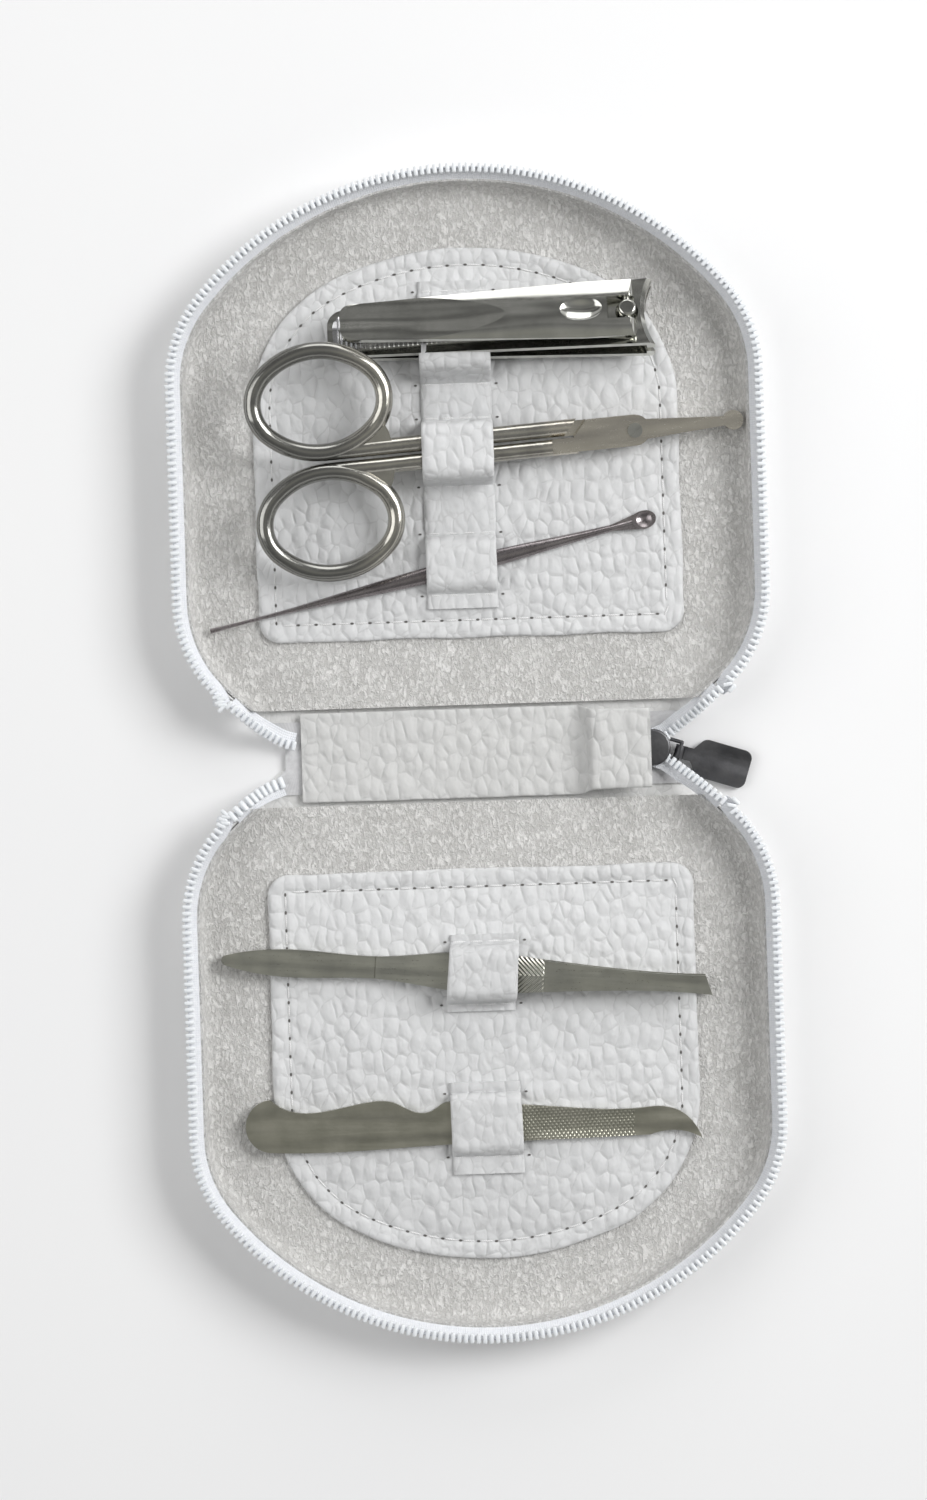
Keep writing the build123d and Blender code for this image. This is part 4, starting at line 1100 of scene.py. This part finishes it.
def metal_finish(
    name, low, high, rough_low, rough_high, length_turn, stretch=(0.06, 1.6, 1.0), marks=0.25, depth=0.02,
    extra=None, flow=0.5
):
    """Metal brushed along a direction, slightly uneven all over. extra adds its own height to the bump."""
    material, tree, shader = finish_of(name)
    place = millimetres(tree, turn=-length_turn)
    long_marks = joined(tree, "ShaderNodeMapping", None, {"Vector": place, "Scale": stretch})
    brushed = joined(
        tree, "ShaderNodeTexNoise", None,
        {"Vector": long_marks.outputs[0], "Scale": 2.2, "Detail": 6.0, "Roughness": 0.7}
    )
    cloud = noise_at(tree, place, 0.22, 4.0)
    wear = noise_at(tree, place, 2.6, 5.0)
    paint(tree, shader, level(tree, cloud.outputs["Fac"], 0.3, 0.7), low, high)
    both = sum_of(
        tree, sum_of(tree, brushed.outputs["Fac"], 0.65, "MULTIPLY"),
        sum_of(tree, wear.outputs["Fac"], 0.35, "MULTIPLY")
    )
    tree.links.new(level(tree, both, 0.35, 0.65, rough_low, rough_high), shader.inputs["Roughness"])
    shader.inputs["Metallic"].default_value = 1.0
    broad = joined(tree, "ShaderNodeMapping", None, {"Vector": place, "Scale": (0.05, 0.34, 0.34)})
    swell = noise_at(tree, broad.outputs[0], 1.0, 0.0)
    normal = bump_of(
        tree, swell.outputs["Fac"], flow, swell_depth, bump_of(tree, brushed.outputs["Fac"], marks, depth)
    )
    if extra:
        height, distance, strength = extra(tree, place)
        normal = bump_of(tree, height, strength, distance, normal)
    tree.links.new(normal, shader.inputs["Normal"])
    return material


def between(tree, value, low, high, soft=0.15):
    """1 inside a range and 0 outside it."""
    return sum_of(
        tree, level(tree, value, low - soft, low + soft),
        level(tree, value, high - soft, high + soft, 1.0, 0.0), "MULTIPLY"
    )


def axis_of(tree, place, axis):
    return joined(tree, "ShaderNodeSeparateXYZ", None, {"Vector": place}).outputs[axis]


def ridges(tree, place, turn, pitch, stretch=1.0):
    """Fine parallel ridges, turned round Z."""
    turned = joined(tree, "ShaderNodeMapping", None, {"Vector": place, "Rotation": (0, 0, turn)})
    along = axis_of(tree, turned.outputs[0], "X")
    phase = sum_of(tree, along, 2 * pi / pitch, "MULTIPLY")
    wave = joined(tree, "ShaderNodeMath", {"operation": "SINE"}, {0: phase}).outputs[0]
    return level(tree, wave, -1.0, 1.0)


def file_teeth(tree, place):
    """Rows of cuts across a clipper's file."""
    cuts = ridges(tree, place, 0.0, 0.85)
    x = axis_of(tree, place, "X")
    return sum_of(tree, cuts, between(tree, x, -21.0, 2.0), "MULTIPLY"), 0.22, 0.9


def cross_cut(tree, place):
    """Two crossing rows of file cuts on the rasp."""
    first, second = ridges(tree, place, radians(33), 0.62), ridges(tree, place, radians(-38), 0.62)
    x = axis_of(tree, place, "X")
    cuts = sum_of(tree, first, second, "MULTIPLY")
    return sum_of(tree, cuts, between(tree, x, 6.4, 27.5), "MULTIPLY"), 0.1, 0.55


tweezer_middle = 39.5  # distance of the tweezers' middle line from the middle of the case


def herringbone(tree, place):
    """Grip cut on the tweezers: slanted ridges that meet on the middle line."""
    x, y = axis_of(tree, place, "X"), axis_of(tree, place, "Y")
    off = sum_of(tree, y, tweezer_middle, "ADD")
    folded = joined(tree, "ShaderNodeMath", {"operation": "ABSOLUTE"}, {0: off}).outputs[0]
    phase = sum_of(tree, sum_of(tree, x, folded, "ADD"), 2 * pi / 0.8, "MULTIPLY")
    wave = joined(tree, "ShaderNodeMath", {"operation": "SINE"}, {0: phase}).outputs[0]
    return sum_of(tree, level(tree, wave, -1.0, 1.0), between(tree, x, 5.5, 14.0), "MULTIPLY"), 0.2, 0.9


def carried(name, material):
    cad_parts[name].material_slots[0].material = material


dark_nickel = metal_finish(
    "dark_nickel", (0.075, 0.075, 0.08), (0.15, 0.15, 0.155), 0.34, 0.5, radians(-18), (1.0, 1.0, 1.0), 0.5,
    0.05
)
chrome = metal_finish(
    "bright_chrome", (0.5, 0.5, 0.465), (0.62, 0.62, 0.58), 0.1, 0.19, radians(1), (0.08, 0.5, 0.5), 0.16,
    flow=0.2
)
chrome_scissors = metal_finish(
    "scissors_steel", (0.42, 0.405, 0.365), (0.54, 0.525, 0.475), 0.17, 0.27, radians(4.4), (0.1, 0.8, 0.8),
    0.18, flow=0.25
)
chrome_file = metal_finish(
    "clipper_file_steel", (0.5, 0.5, 0.51), (0.66, 0.66, 0.67), 0.16, 0.28, radians(1), (1.0, 0.2, 1.0),
    0.2, 0.02, file_teeth
)
pick_steel = metal_finish("pick_steel", (0.25, 0.225, 0.23), (0.37, 0.34, 0.345), 0.22, 0.34, radians(12.6))
tweezer_steel = metal_finish(
    "tweezer_steel", (0.37, 0.37, 0.33), (0.48, 0.48, 0.42), 0.26, 0.38, radians(-4.6), extra=herringbone
)
file_steel = metal_finish(
    "nail_file_steel", (0.35, 0.345, 0.285), (0.46, 0.45, 0.38), 0.28, 0.4, radians(-0.9), extra=cross_cut
)
# The scissors' rings are painted darker than their bars as painted shade, and the pivot plate and blades are
# ground satin: a little rougher, and painted much brighter as a painted highlight.
ring_end, bar_start = -20.0, -12.0
satin_highlight_start, satin_highlight_full = 17.0, 21.0
tree = chrome_scissors.node_tree
shader = tree.nodes["Principled BSDF"]
along_blades = axis_of(tree, millimetres(tree, turn=-radians(4.4)), "X")
polished = shader.inputs["Base Color"].links[0].from_socket
# Painted shade: the rings get a darker colour than the bars.
ring_shade_colour = blend_colour(
    tree, level(tree, along_blades, ring_end, bar_start, 1.0, 0.0, soft=True), polished, (0.3, 0.298, 0.28)
)
# The blades are made a little rougher and painted brighter as a painted highlight.
satin_and_painted_highlight = level(tree, along_blades, satin_highlight_start, satin_highlight_full, 0.0, 0.7, soft=True)
paint(tree, shader, satin_and_painted_highlight, ring_shade_colour, (0.7, 0.655, 0.57))
smooth_rough = shader.inputs["Roughness"].links[0].from_socket
tree.links.new(
    sum_of(tree, smooth_rough, sum_of(tree, satin_and_painted_highlight, 0.03, "MULTIPLY")), shader.inputs["Roughness"]
)
for node, material in (
    ("slider_body", dark_nickel), ("slider_pull", dark_nickel), (
        "clipper_lower_jaw", chrome
    ), ("clipper_upper_jaw", chrome),
    ("clipper_rivet", chrome), ("clipper_post", chrome), ("clipper_pin", chrome), ("clipper_lever", chrome), (
        "clipper_file", chrome_file
    ),
    (
        "scissors_lower_half", chrome_scissors
    ), ("scissors_upper_half", chrome_scissors), ("scissors_screw", chrome),
    ("pick", pick_steel), (
        "tweezer_lower_arm", tweezer_steel
    ), ("tweezer_upper_arm", tweezer_steel), ("nail_file", file_steel),
):
    carried(node, material)
